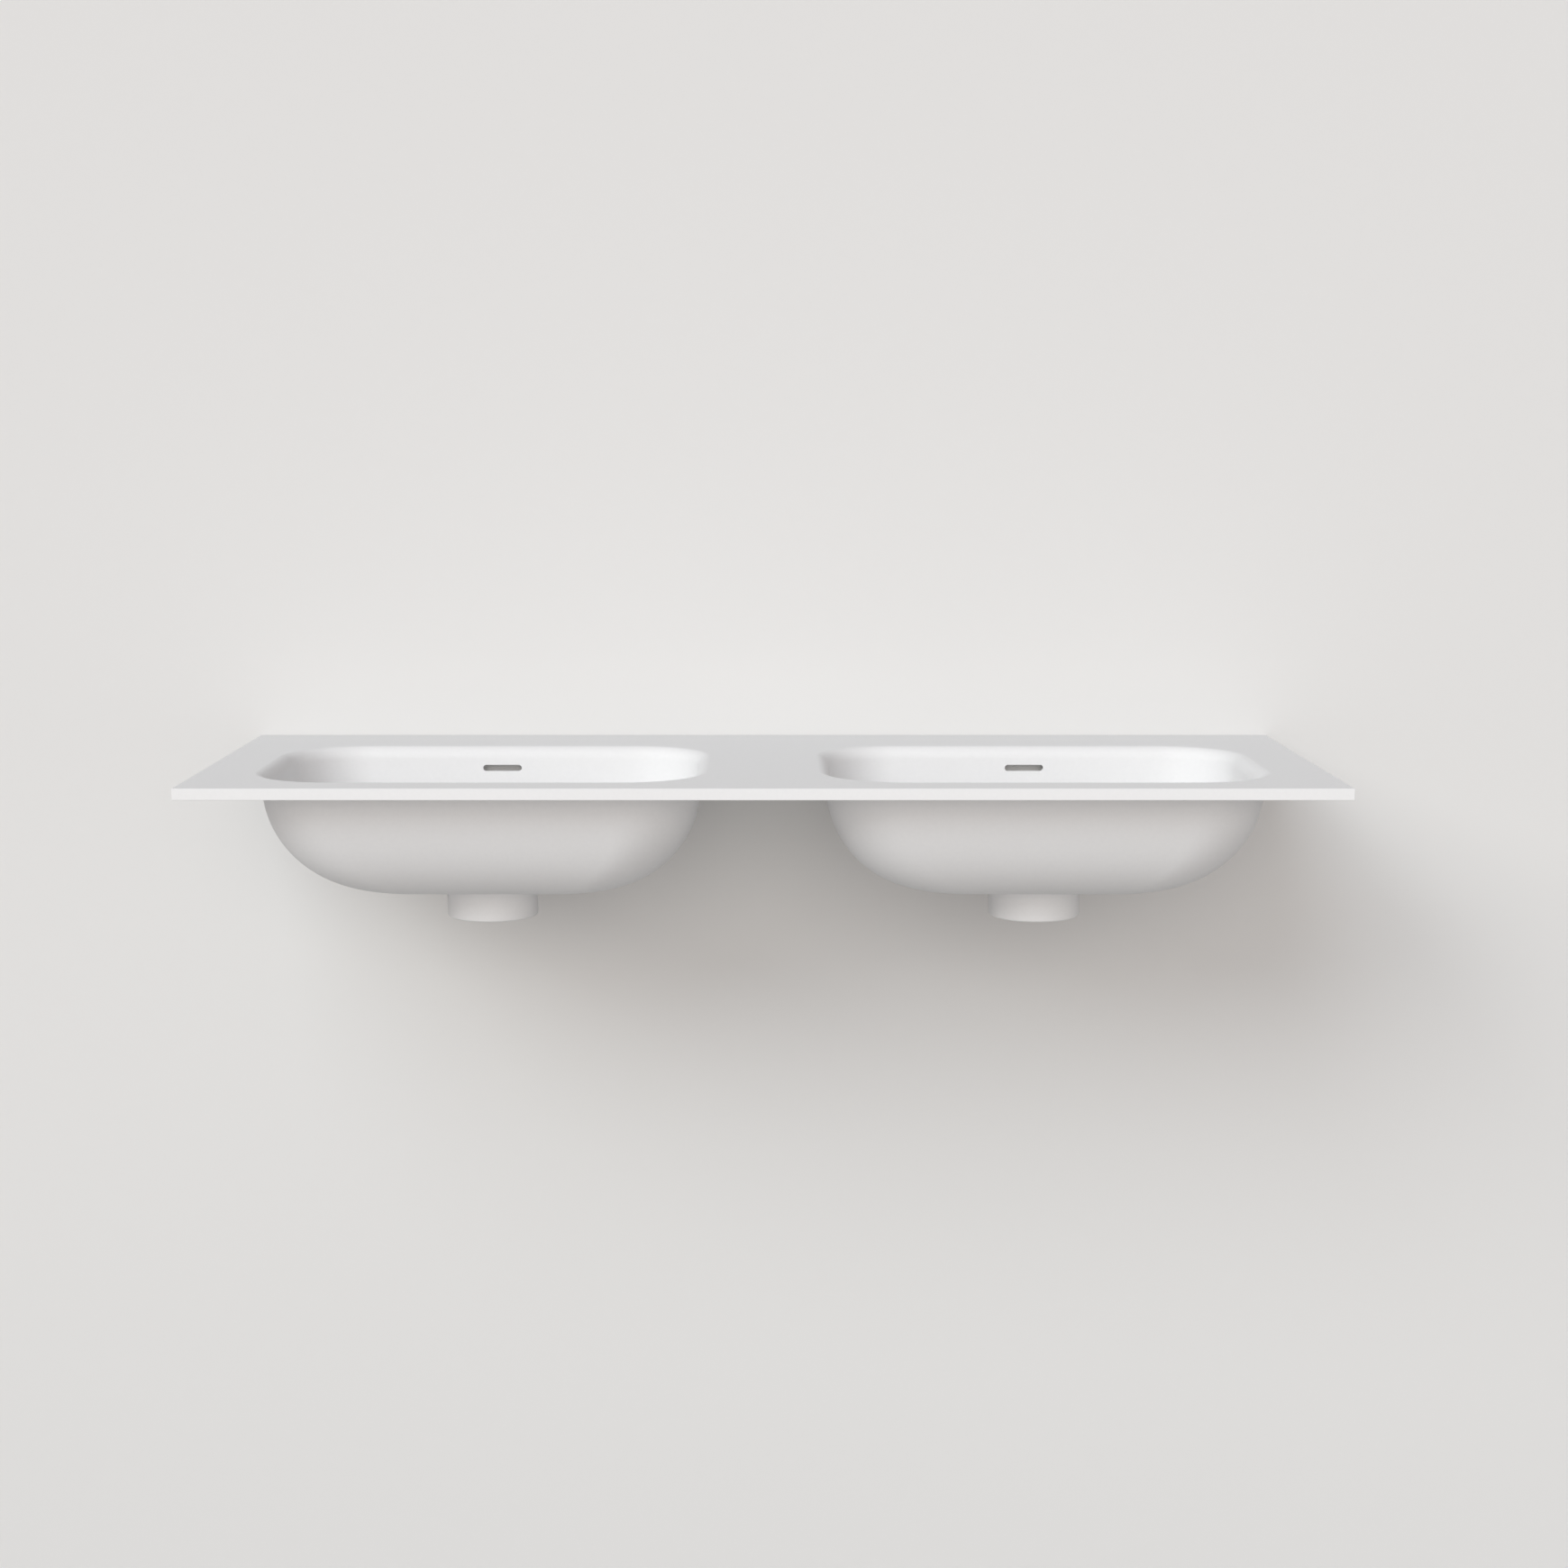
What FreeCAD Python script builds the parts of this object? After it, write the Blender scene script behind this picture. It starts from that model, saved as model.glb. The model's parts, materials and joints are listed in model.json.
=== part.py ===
"""Double sink vanity top: a thin solid-surface slab with two moulded bowls, their overflow ducts, drain
bosses and press-to-open wastes.

Millimetres. The origin is the middle of the slab's underside, +X runs to the right along the slab, +Y
to the wall behind it and +Z up. The left basin is modelled and the right one is its mirror image.
"""
import FreeCAD
import Part
import Sketcher
import math
import os

from FreeCAD import Vector

# Driving dimensions: alias, size and meaning
DIMENSIONS = (
    ("slab_length", 1200, "top, left to right"),
    ("slab_depth", 460, "top, front to wall"),
    ("slab_thick", 12, "top, thickness"),
    ("edge_round", 1.5, "round on the edges of the top"),
    ("basin_spacing", 600, "between the middles of the two basins"),
    ("basin_length", 482, "opening in the top, left to right"),
    ("basin_width", 314, "opening in the top, front to back"),
    ("basin_corner", 90, "corner radius of the opening"),
    ("basin_front", 44.5, "from the front edge to the opening"),
    ("lip_radius", 20, "roll of the lip from the top into the bowl"),
    ("lip_run", 1, "upright wall below the roll of the lip"),
    ("bowl_drop", 104.5, "from the end of the lip to the floor"),
    ("rim_wall", 12.5, "wall of the bowl where it meets the slab"),
    ("bowl_wall", 9.5, "wall of the bowl at its floor"),
    ("floor_length", 221, "flat floor of the bowl, left to right"),
    ("floor_width", 145, "flat floor of the bowl, front to back"),
    ("floor_corner", 45, "corner radius of the flat floor"),
    ("rebate_depth", 2, "rebate in the slab that takes the bowl's rim"),
    ("glue_line", 0.2, "room for adhesive beside a bonded piece"),
    ("drain_setback", 22, "drain behind the middle of the basin"),
    ("slot_length", 44, "overflow slot"),
    ("slot_height", 7, "overflow slot"),
    ("slot_drop", 12.5, "middle of the overflow slot below the slab"),
    ("duct_margin", 4, "room in the duct beside the slot"),
    ("duct_headroom", 1.5, "room in the duct above the slot"),
    ("duct_wall", 4, "wall of the overflow duct"),
    ("overflow_gap", 10, "clear depth of the duct and height of the boss chamber"),
    ("boss_radius", 50, "drain boss"),
    ("boss_height", 37, "drain boss below the bowl"),
    ("boss_wall", 10, "drain boss"),
    ("boss_round", 2.5, "round on the lower rim of the boss"),
    ("web_thick", 6, "web in the boss that the waste clamps to"),
    ("thread_radius", 20.955, "G 1 1/4 thread of the waste"),
    ("thread_clear", 0.05, "backnut on the thread"),
    ("thread_spare", 1.5, "thread below the backnut"),
    ("waste_room", 1.5, "holes and seals round the thread"),
    ("waste_bore", 17.5, "water way of the waste"),
    ("throat_chamfer", 1.5, "mouth of the water way"),
    ("flange_radius", 32, "flange of the waste"),
    ("flange_thick", 2.5, "flange of the waste"),
    ("flange_recess", 3, "recess in the floor for the flange"),
    ("flange_room", 1, "recess round the flange"),
    ("flange_seal_thick", 1, "soft washer under the flange"),
    ("lower_seal_radius", 30, "soft washer under the web"),
    ("lower_seal_thick", 2.5, "soft washer under the web"),
    ("nut_flats", 50, "backnut across its flats"),
    ("nut_height", 8, "backnut"),
    ("nut_chamfer", 1, "backnut's lower corners"),
    ("tail_radius", 19.05, "plain 1 1/2 inch tail tube below the waste"),
    ("tail_length", 13, "tail tube below the waste"),
    ("tail_engage", 6, "tail tube's threaded end in the waste"),
    ("tail_step", 0.6, "shoulder of the tail tube outside its threaded end"),
    ("port_width", 10, "overflow ports in the waste"),
    ("port_height", 6, "overflow ports in the waste"),
    ("hub_radius", 9, "hub of the spider"),
    ("hub_height", 5, "hub and bars of the spider"),
    ("bar_width", 5, "bars of the spider"),
    ("bar_root", 1, "bars let into the wall of the waste"),
    ("guide_radius", 7.5, "plunger guide"),
    ("guide_height", 22, "plunger guide above the hub"),
    ("guide_floor", 3.5, "plunger guide's closed end"),
    ("guide_stud", 5, "stud of the guide in the hub, radius"),
    ("guide_clear", 0.05, "stud in the hub and plunger thread in the cap"),
    ("stem_radius", 4, "plunger"),
    ("stem_clear", 0.05, "plunger in its guide"),
    ("stem_gap", 2, "below the plunger when the plug is down"),
    ("stem_thread", 3, "upper end of the plunger, radius"),
    ("stem_engage", 7, "upper end of the plunger in the cap"),
    ("thread_relief", 0.5, "above the plunger's upper end"),
    ("plug_radius", 31, "plug cap"),
    ("plug_thick", 5, "plug cap"),
    ("plug_round", 2, "upper edge of the plug cap"),
    ("plug_hub_radius", 7, "boss under the plug cap"),
    ("plug_hub_height", 5, "boss under the plug cap"),
    ("plug_seal_thick", 1.5, "soft ring under the plug cap"),
    ("plug_seal_width", 7, "soft ring under the plug cap"),
    ("plug_seal_inset", 2, "soft ring inside the cap's edge"),
    ("plate_margin", 5, "the cutting form's plate outside the opening"),
    ("overrun", 1, "cutting forms past the faces they cut through"),
)

# Heights above the slab's underside, each worked out from the driving dimensions
SLAB_BASE = "0"
LIP_END = "(dims.slab_thick - dims.lip_radius - dims.lip_run)"
FLOOR = f"({LIP_END} - dims.bowl_drop)"
BOWL_BASE = f"({FLOOR} - dims.bowl_wall)"
WEB_TOP = f"({BOWL_BASE} - dims.overflow_gap)"
WEB_BASE = f"({WEB_TOP} - dims.web_thick)"
BOSS_BASE = f"({BOWL_BASE} - dims.boss_height)"
FLANGE_SEAT = f"({FLOOR} - dims.flange_recess)"
FLANGE_BASE = f"({FLANGE_SEAT} + dims.flange_seal_thick)"
FLANGE_TOP = f"({FLANGE_BASE} + dims.flange_thick)"
NUT_TOP = f"({WEB_BASE} - dims.lower_seal_thick)"
NUT_BASE = f"({NUT_TOP} - dims.nut_height)"
THREAD_END = f"({NUT_BASE} - dims.thread_spare)"
TAIL_END = f"({THREAD_END} - dims.tail_length)"
SPIDER_BASE = f"({THREAD_END} + dims.tail_engage)"
HUB_TOP = f"({SPIDER_BASE} + dims.hub_height)"
GUIDE_TOP = f"({HUB_TOP} + dims.guide_height)"
GUIDE_FLOOR = f"({HUB_TOP} + dims.guide_floor)"
PLUG_BASE = f"({FLANGE_TOP} + dims.plug_seal_thick)"
PLUG_TOP = f"({PLUG_BASE} + dims.plug_thick)"
PLUG_HUB_BASE = f"({PLUG_BASE} - dims.plug_hub_height)"

# Places and sizes that several pieces share
BASIN_X = "(-dims.basin_spacing / 2)"
BASIN_Y = "(-dims.slab_depth / 2 + dims.basin_front + dims.basin_width / 2)"
DRAIN_Y = f"({BASIN_Y} + dims.drain_setback)"
WASTE_HOLE = "(dims.thread_radius + dims.waste_room)"
TAIL_THREAD = "(dims.tail_radius - dims.tail_step)"
CHANNEL_HALF = "(dims.slot_length / 2 + dims.duct_margin)"
DUCT_DEPTH = "(dims.overflow_gap + dims.duct_wall)"
CHANNEL_TOP = "(dims.slot_height / 2 - dims.slot_drop + dims.duct_headroom)"
DUCT_TOP = f"({CHANNEL_TOP} + dims.duct_wall)"
PLUG_SEAL_OUTER = "(dims.plug_radius - dims.plug_seal_inset)"
PLUG_SEAL_INNER = f"({PLUG_SEAL_OUTER} - dims.plug_seal_width)"

# The rounded outline of the bowl's water surface at the lower end of the lip
THROAT_HALF_X = "(dims.basin_length / 2 - dims.lip_radius)"
THROAT_HALF_Y = "(dims.basin_width / 2 - dims.lip_radius)"
THROAT_CORNER = "(dims.basin_corner - dims.lip_radius)"

# The bowl's wall is drawn as an elliptical quarter turn, from upright at its rim to level at the floor
WALL_TURN = 90
WALL_STEPS = 8
PORT_COUNT = 6
NUT_SIDES = 6
QUARTER_TURN = math.pi / 2
SAME_HEIGHT = 1e-4

doc = FreeCAD.newDocument("vanity_top")


def fill_sheet():
    """Write the driving dimensions into the document's spreadsheet."""
    sheet = doc.addObject("Spreadsheet::Sheet", "dims")
    for row, (alias, size, meaning) in enumerate(DIMENSIONS, start=1):
        sheet.set(f"A{row}", meaning)
        sheet.set(f"B{row}", str(size))
        sheet.setAlias(f"B{row}", alias)
    doc.recompute()
    return sheet


dims = fill_sheet()


def size_of(expression):
    """The number that an expression on the sheet gives now."""
    return float(dims.evalExpression(str(expression)))


def new_body(name, place_x="0", place_y="0"):
    """A body whose origin stands at a bound place on the slab's underside."""
    body = doc.addObject("PartDesign::Body", name)
    body.setExpression("Placement.Base.x", place_x)
    body.setExpression("Placement.Base.y", place_y)
    return body


def new_sketch(body, name, role="XY_Plane", height=None):
    """A sketch on one of the body's own origin planes, at a bound height above it."""
    sketch = body.newObject("Sketcher::SketchObject", name)
    plane = next(item for item in body.Origin.OriginFeatures if item.Role == role)
    sketch.AttachmentSupport = [(plane, "")]
    sketch.MapMode = "FlatFace"
    if height is not None:
        sketch.setExpression("AttachmentOffset.Base.z", height)
    return sketch


def bind(sketch, constraint, expression):
    """Add a dimension to a sketch and bind it to an expression."""
    index = sketch.addConstraint(constraint)
    sketch.setExpression(f"Constraints[{index}]", expression)


def pin_point(sketch, geometry, end, across=None, along=None):
    """Bind a point's distance from the sketch's origin, across and along the sheet."""
    if across is not None:
        bind(sketch, Sketcher.Constraint("DistanceX", -1, 1, geometry, end, size_of(across)), across)
    if along is not None:
        bind(sketch, Sketcher.Constraint("DistanceY", -1, 1, geometry, end, size_of(along)), along)


def draw_polygon(sketch, points):
    """A closed outline of straight lines through bound points."""
    spots = [Vector(size_of(across), size_of(along), 0) for across, along in points]
    first = sketch.GeometryCount
    for start, end in zip(spots, spots[1:] + spots[:1]):
        sketch.addGeometry(Part.LineSegment(start, end), False)
    for step in range(len(spots)):
        following = first + (step + 1) % len(spots)
        sketch.addConstraint(Sketcher.Constraint("Coincident", first + step, 2, following, 1))
        pin_point(sketch, first + step, 1, *points[step])


def draw_circle(sketch, radius):
    """A circle of bound radius round the sketch's origin."""
    circle = sketch.addGeometry(Part.Circle(Vector(0, 0, 0), Vector(0, 0, 1), size_of(radius)), False)
    sketch.addConstraint(Sketcher.Constraint("Coincident", circle, 3, -1, 1))
    bind(sketch, Sketcher.Constraint("Radius", circle, size_of(radius)), radius)


def draw_arc(sketch, centre, radius, first_turn):
    """A quarter circle that starts a number of quarter turns round from the sheet's X."""
    circle = Part.Circle(centre, Vector(0, 0, 1), radius)
    start = first_turn * QUARTER_TURN
    return sketch.addGeometry(Part.ArcOfCircle(circle, start, start + QUARTER_TURN), False)


def draw_rounded(sketch, half_x, half_y, corner, middle_x="0", middle_y="0"):
    """A rounded rectangle with bound half sizes, corner radius and middle."""
    wide, deep, radius = size_of(half_x), size_of(half_y), size_of(corner)
    middle = Vector(size_of(middle_x), size_of(middle_y), 0)
    sides = []
    corners = []
    for turn, (right, rear) in enumerate(((1, -1), (1, 1), (-1, 1), (-1, -1))):
        centre = middle + Vector(right * (wide - radius), rear * (deep - radius), 0)
        corners.append(draw_arc(sketch, centre, radius, turn - 1))
    for corner_arc, following in zip(corners, corners[1:] + corners[:1]):
        start = sketch.getPoint(corner_arc, 2)
        end = sketch.getPoint(following, 1)
        sides.append(sketch.addGeometry(Part.LineSegment(start, end), False))
    for turn, side in enumerate(sides):
        following = corners[(turn + 1) % len(corners)]
        sketch.addConstraint(Sketcher.Constraint("Tangent", corners[turn], 2, side, 1))
        sketch.addConstraint(Sketcher.Constraint("Tangent", side, 2, following, 1))
        sketch.addConstraint(Sketcher.Constraint("Vertical" if turn % 2 == 0 else "Horizontal", side))
    for corner_arc in corners[1:]:
        sketch.addConstraint(Sketcher.Constraint("Equal", corners[0], corner_arc))
    bind(sketch, Sketcher.Constraint("Radius", corners[0], radius), corner)
    right, rear, left, front = sides
    pin_point(sketch, right, 1, across=f"{middle_x} + {half_x}")
    pin_point(sketch, rear, 1, along=f"{middle_y} + {half_y}")
    pin_point(sketch, left, 1, across=f"{middle_x} - {half_x}")
    pin_point(sketch, front, 1, along=f"{middle_y} - {half_y}")


def draw_slot(sketch, length, height, middle_y):
    """A slot with round ends, level, on the sheet's upright axis."""
    radius = f"({height} / 2)"
    reach = f"({length} / 2 - {radius})"
    away = size_of(reach)
    tall = size_of(radius)
    level = size_of(middle_y)
    ends = []
    for side, start in ((1, -QUARTER_TURN), (-1, QUARTER_TURN)):
        circle = Part.Circle(Vector(side * away, level, 0), Vector(0, 0, 1), tall)
        ends.append(sketch.addGeometry(Part.ArcOfCircle(circle, start, start + 2 * QUARTER_TURN), False))
    for end, following in zip(ends, reversed(ends)):
        points = sketch.getPoint(end, 2), sketch.getPoint(following, 1)
        line = sketch.addGeometry(Part.LineSegment(*points), False)
        sketch.addConstraint(Sketcher.Constraint("Tangent", end, 2, line, 1))
        sketch.addConstraint(Sketcher.Constraint("Tangent", line, 2, following, 1))
    bind(sketch, Sketcher.Constraint("Radius", ends[0], tall), radius)
    pin_point(sketch, ends[0], 3, across=reach, along=middle_y)
    pin_point(sketch, ends[1], 3, across=f"-{reach}", along=middle_y)


def pad(body, sketch, length, backwards=False):
    """Thicken a sketch by a bound length."""
    feature = body.newObject("PartDesign::Pad", f"{sketch.Name}_pad")
    feature.Profile = sketch
    feature.Reversed = backwards
    feature.setExpression("Length", length)
    return feature


def pocket(body, sketch, depth, backwards=False):
    """Cut a sketch into the body by a bound depth, and make sure that it cut something."""
    doc.recompute()
    before = body.Shape.Volume
    feature = body.newObject("PartDesign::Pocket", f"{sketch.Name}_pocket")
    feature.Profile = sketch
    feature.Reversed = backwards
    feature.setExpression("Length", depth)
    doc.recompute()
    if body.Shape.Volume >= before:
        raise RuntimeError(f"{feature.Name} cuts nothing")
    return feature


def edges_where(feature, test):
    """Names of a feature's edges that pass a test on their box."""
    doc.recompute()
    boxes = [edge.BoundBox for edge in feature.Shape.Edges]
    return [f"Edge{index}" for index, box in enumerate(boxes, start=1) if test(box)]


def ease_edges(body, feature, kind, size, test):
    """Round or chamfer the edges of a feature that pass a test."""
    names = edges_where(feature, test)
    eased = body.newObject(f"PartDesign::{kind}", f"{feature.Name}_{kind.lower()}")
    eased.Base = (feature, names)
    eased.setExpression("Radius" if kind == "Fillet" else "Size", size)
    return eased


def level_at(height):
    """A test for edges that lie level at an expression's height."""
    level = size_of(height)
    return lambda box: max(abs(box.ZMin - level), abs(box.ZMax - level)) < SAME_HEIGHT


def turned(name, points, place_y=DRAIN_Y):
    """A turned body on the drain's axis, from its half section as bound (radius, height) points."""
    body = new_body(name, BASIN_X, place_y)
    sketch = new_sketch(body, f"{name}_section", "XZ_Plane")
    draw_polygon(sketch, points)
    turn = body.newObject("PartDesign::Revolution", f"{name}_turn")
    turn.Profile = sketch
    turn.ReferenceAxis = (sketch, ["V_Axis"])
    turn.Angle = 360
    doc.recompute()
    return body


def washer(name, inner, outer, base, top):
    """A flat ring on the drain's axis."""
    return turned(name, ((inner, base), (outer, base), (outer, top), (inner, top)))


def cut(name, base, tool):
    """One shape less another, kept in the document."""
    feature = doc.addObject("Part::Cut", name)
    feature.Base = base
    feature.Tool = tool
    return feature


def common(name, base, tool):
    """What two shapes share, kept in the document."""
    feature = doc.addObject("Part::Common", name)
    feature.Base = base
    feature.Tool = tool
    return feature


def eased_size(floor_size, lip_size, turn):
    """A size that passes from its value at the lip to its value at the floor as the wall turns over."""
    return f"({floor_size} + ({lip_size} - {floor_size}) * cos({turn} deg))"


def basin_form(name, rim, below, start, top):
    """The bowl's form, upright from a height down to where its wall starts to turn over.

    The form lies outside the water surface by one bound offset at the rim and by another below the floor.
    Each level is a rounded rectangle. Its sizes and its middle follow an elliptical quarter turn, so the
    wall starts upright and meets the flat floor level, with the drain set back.
    """
    body = new_body(name, BASIN_X, BASIN_Y)
    rim_sizes = [f"({size} + {rim})" for size in (THROAT_HALF_X, THROAT_HALF_Y, THROAT_CORNER)]
    floor_sizes = ("dims.floor_length / 2", "dims.floor_width / 2", "dims.floor_corner")
    levels = []
    for step in range(WALL_STEPS + 1):
        turn = WALL_TURN * step / WALL_STEPS
        height = f"{start} - ({start} - {FLOOR} + {below}) * sin({turn} deg)"
        sketch = new_sketch(body, f"{name}_level_{step}", height=height)
        draw_rounded(
            sketch,
            *(eased_size(*sizes, turn) for sizes in zip(floor_sizes, rim_sizes)),
            middle_y=eased_size("dims.drain_setback", "0", turn),
        )
        levels.append(sketch)
    doc.recompute()
    loft = body.newObject("PartDesign::AdditiveLoft", f"{name}_loft")
    loft.Profile = levels[0]
    loft.Sections = levels[1:]
    collar = new_sketch(body, f"{name}_collar", height=start)
    draw_rounded(collar, *rim_sizes)
    pad(body, collar, f"{top} - {start}")
    doc.recompute()
    return body


def outer_form(name, stand_off):
    """The form a bound distance outside the bowl, whose outer wall starts to turn right under the slab."""
    rim, below = f"(dims.rim_wall + {stand_off})", f"(dims.bowl_wall + {stand_off})"
    return basin_form(name, rim, below, SLAB_BASE, "dims.rebate_depth")


def basin_space():
    """Everything that is empty in and above the left basin: bowl, rolled lip and overflow slot."""
    body = basin_form("basin_space", "0", "0", LIP_END, "dims.slab_thick")
    plate = new_sketch(body, "space_above", height="dims.slab_thick")
    draw_rounded(
        plate,
        "(dims.basin_length / 2 + dims.plate_margin)",
        "(dims.basin_width / 2 + dims.plate_margin)",
        "(dims.basin_corner + dims.plate_margin)",
    )
    above = pad(body, plate, "dims.slab_thick")
    doc.recompute()
    half_x, half_y = size_of("dims.basin_length / 2"), size_of("dims.basin_width / 2")
    at_top = level_at("dims.slab_thick")

    def on_throat(box):
        within = max(-box.XMin, box.XMax) < half_x and max(-box.YMin, box.YMax) < half_y
        return within and at_top(box)

    ease_edges(body, above, "Fillet", "dims.lip_radius", on_throat)
    doc.recompute()
    slot = new_sketch(body, "overflow_slot", "XZ_Plane")
    draw_slot(slot, "dims.slot_length", "dims.slot_height", "-dims.slot_drop")
    pad(body, slot, f"{THROAT_HALF_Y} + dims.rim_wall + dims.overrun", backwards=True)
    doc.recompute()
    return body


def drain_space():
    """The stepped hole in the left bowl's floor that takes the waste and its flange."""
    above = f"({FLOOR} + dims.overrun)"
    below = f"({BOWL_BASE} - dims.overrun)"
    recess = "(dims.flange_radius + dims.flange_room)"
    points = (
        ("0", below), (WASTE_HOLE, below), (WASTE_HOLE, FLANGE_SEAT),
        (recess, FLANGE_SEAT), (recess, above), ("0", above),
    )
    return turned("drain_space", points)


def make_bowl(space):
    """The left bowl: its outer form less the basin's space and the drain hole."""
    shell = outer_form("bowl_shell", "0")
    hollow = cut("bowl_hollow", shell, space)
    return cut("left_bowl", hollow, drain_space()), shell


def make_slab(space):
    """The top: a plate with rounded edges, a rebate round each opening and both openings."""
    body = new_body("slab_blank")
    outline = new_sketch(body, "slab_outline")
    half_x, half_y = "dims.slab_length / 2", "dims.slab_depth / 2"
    draw_polygon(
        outline,
        ((f"-{half_x}", f"-{half_y}"), (half_x, f"-{half_y}"), (half_x, half_y), (f"-{half_x}", half_y)),
    )
    plate = pad(body, outline, "dims.slab_thick")
    ease_edges(body, plate, "Fillet", "dims.edge_round", lambda box: True)
    rebate = new_sketch(body, "rebates")
    for side in ("-", "+"):
        draw_rounded(
            rebate,
            f"({THROAT_HALF_X} + dims.rim_wall + dims.glue_line)",
            f"({THROAT_HALF_Y} + dims.rim_wall + dims.glue_line)",
            f"({THROAT_CORNER} + dims.rim_wall + dims.glue_line)",
            f"({side} dims.basin_spacing / 2)",
            BASIN_Y,
        )
    pocket(body, rebate, "dims.rebate_depth", backwards=True)
    left_open = cut("slab_left_open", body, space)
    return cut("top_slab", left_open, mirrored("right_space", space))


def make_boss():
    """The left drain boss: a ring with a chamber over a web, open below, and a window for the duct."""
    inner = "(dims.boss_radius - dims.boss_wall)"
    body = turned(
        "left_drain_boss",
        (
            (inner, BOWL_BASE), ("dims.boss_radius", BOWL_BASE), ("dims.boss_radius", BOSS_BASE),
            (inner, BOSS_BASE), (inner, WEB_BASE), (WASTE_HOLE, WEB_BASE), (WASTE_HOLE, WEB_TOP),
            (inner, WEB_TOP),
        ),
    )
    inner_span = size_of(f"2 * {inner}")
    at_base = level_at(BOSS_BASE)
    ease_edges(
        body, body.Tip, "Fillet", "dims.boss_round",
        lambda box: at_base(box) and box.XLength > inner_span + size_of("dims.boss_wall"),
    )
    window = new_sketch(body, "duct_window", "XZ_Plane")
    draw_polygon(
        window,
        (
            (f"-{CHANNEL_HALF}", WEB_TOP), (CHANNEL_HALF, WEB_TOP), (CHANNEL_HALF, BOWL_BASE),
            (f"-{CHANNEL_HALF}", BOWL_BASE),
        ),
    )
    pocket(body, window, "dims.boss_radius + dims.overrun")
    return body


def duct_block(name, half_width, base, top):
    """A block behind the left drain that bounds the duct's width and height."""
    block = doc.addObject("Part::Box", name)
    block.setExpression("Length", f"2 * {half_width}")
    block.setExpression("Width", "dims.basin_width / 2 + dims.rim_wall + dims.lip_radius")
    block.setExpression("Height", f"{top} - {base}")
    block.setExpression("Placement.Base.x", f"{BASIN_X} - {half_width}")
    block.setExpression("Placement.Base.y", DRAIN_Y)
    block.setExpression("Placement.Base.z", base)
    return block


def make_duct(shell):
    """The left overflow duct: a channel that hugs the bowl's rear from the slot to the boss."""
    base = f"({BOWL_BASE} - {DUCT_DEPTH})"
    outer = common(
        "duct_outer",
        duct_block("duct_block", f"({CHANNEL_HALF} + dims.duct_wall)", base, DUCT_TOP),
        outer_form("duct_skin", DUCT_DEPTH),
    )
    channel = common(
        "duct_channel",
        duct_block("channel_block", CHANNEL_HALF, base, CHANNEL_TOP),
        outer_form("channel_skin", "dims.overflow_gap"),
    )
    boss = doc.addObject("Part::Cylinder", "boss_room")
    boss.setExpression("Radius", "dims.boss_radius + dims.glue_line")
    boss.setExpression("Height", "dims.boss_height")
    boss.setExpression("Placement.Base.x", BASIN_X)
    boss.setExpression("Placement.Base.y", DRAIN_Y)
    boss.setExpression("Placement.Base.z", BOSS_BASE)
    on_bowl = cut("duct_on_bowl", outer, shell)
    hollow = cut("duct_hollow", on_bowl, channel)
    return cut("left_overflow_duct", hollow, boss)


def make_waste_body():
    """The left waste: flange, threaded tube with overflow ports, spider and a socket for the tail tube."""
    mouth = "(dims.waste_bore + dims.throat_chamfer)"
    socket = f"({TAIL_THREAD} + dims.thread_clear)"
    body = turned(
        "left_waste_body",
        (
            ("dims.waste_bore", SPIDER_BASE), (socket, SPIDER_BASE), (socket, THREAD_END),
            ("dims.thread_radius", THREAD_END), ("dims.thread_radius", FLANGE_BASE),
            ("dims.flange_radius", FLANGE_BASE), ("dims.flange_radius", FLANGE_TOP), (mouth, FLANGE_TOP),
            ("dims.waste_bore", f"({FLANGE_TOP} - dims.throat_chamfer)"),
        ),
    )
    port = new_sketch(body, "overflow_port", "XZ_Plane")
    middle = f"({BOWL_BASE} - dims.overflow_gap / 2)"
    low, high = f"({middle} - dims.port_height / 2)", f"({middle} + dims.port_height / 2)"
    side = "(dims.port_width / 2)"
    draw_polygon(port, ((f"-{side}", low), (side, low), (side, high), (f"-{side}", high)))
    first = pocket(body, port, "dims.thread_radius + dims.overrun")
    ports = body.newObject("PartDesign::PolarPattern", "overflow_ports")
    ports.Originals = [first]
    ports.Axis = (port, ["V_Axis"])
    ports.Angle = 360
    ports.Occurrences = PORT_COUNT
    body.Tip = ports
    reach, half = "(dims.waste_bore + dims.bar_root)", "(dims.bar_width / 2)"
    for name, across, along in (("bar_left_right", reach, half), ("bar_front_rear", half, reach)):
        bar = new_sketch(body, name, height=SPIDER_BASE)
        draw_polygon(
            bar,
            ((f"-{across}", f"-{along}"), (across, f"-{along}"), (across, along), (f"-{across}", along)),
        )
        pad(body, bar, "dims.hub_height")
    hub = new_sketch(body, "spider_hub", height=SPIDER_BASE)
    draw_circle(hub, "dims.hub_radius")
    pad(body, hub, "dims.hub_height")
    stud_hole = new_sketch(body, "stud_hole", height=SPIDER_BASE)
    draw_circle(stud_hole, "dims.guide_stud + dims.guide_clear")
    pocket(body, stud_hole, "dims.hub_height", backwards=True)
    return body


def make_tailpiece():
    """The left tail tube: screwed up into the waste as far as its shoulder, and plain below."""
    return turned(
        "left_tailpiece",
        (
            ("dims.waste_bore", TAIL_END), ("dims.tail_radius", TAIL_END), ("dims.tail_radius", THREAD_END),
            (TAIL_THREAD, THREAD_END), (TAIL_THREAD, SPIDER_BASE), ("dims.waste_bore", SPIDER_BASE),
        ),
    )


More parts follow.
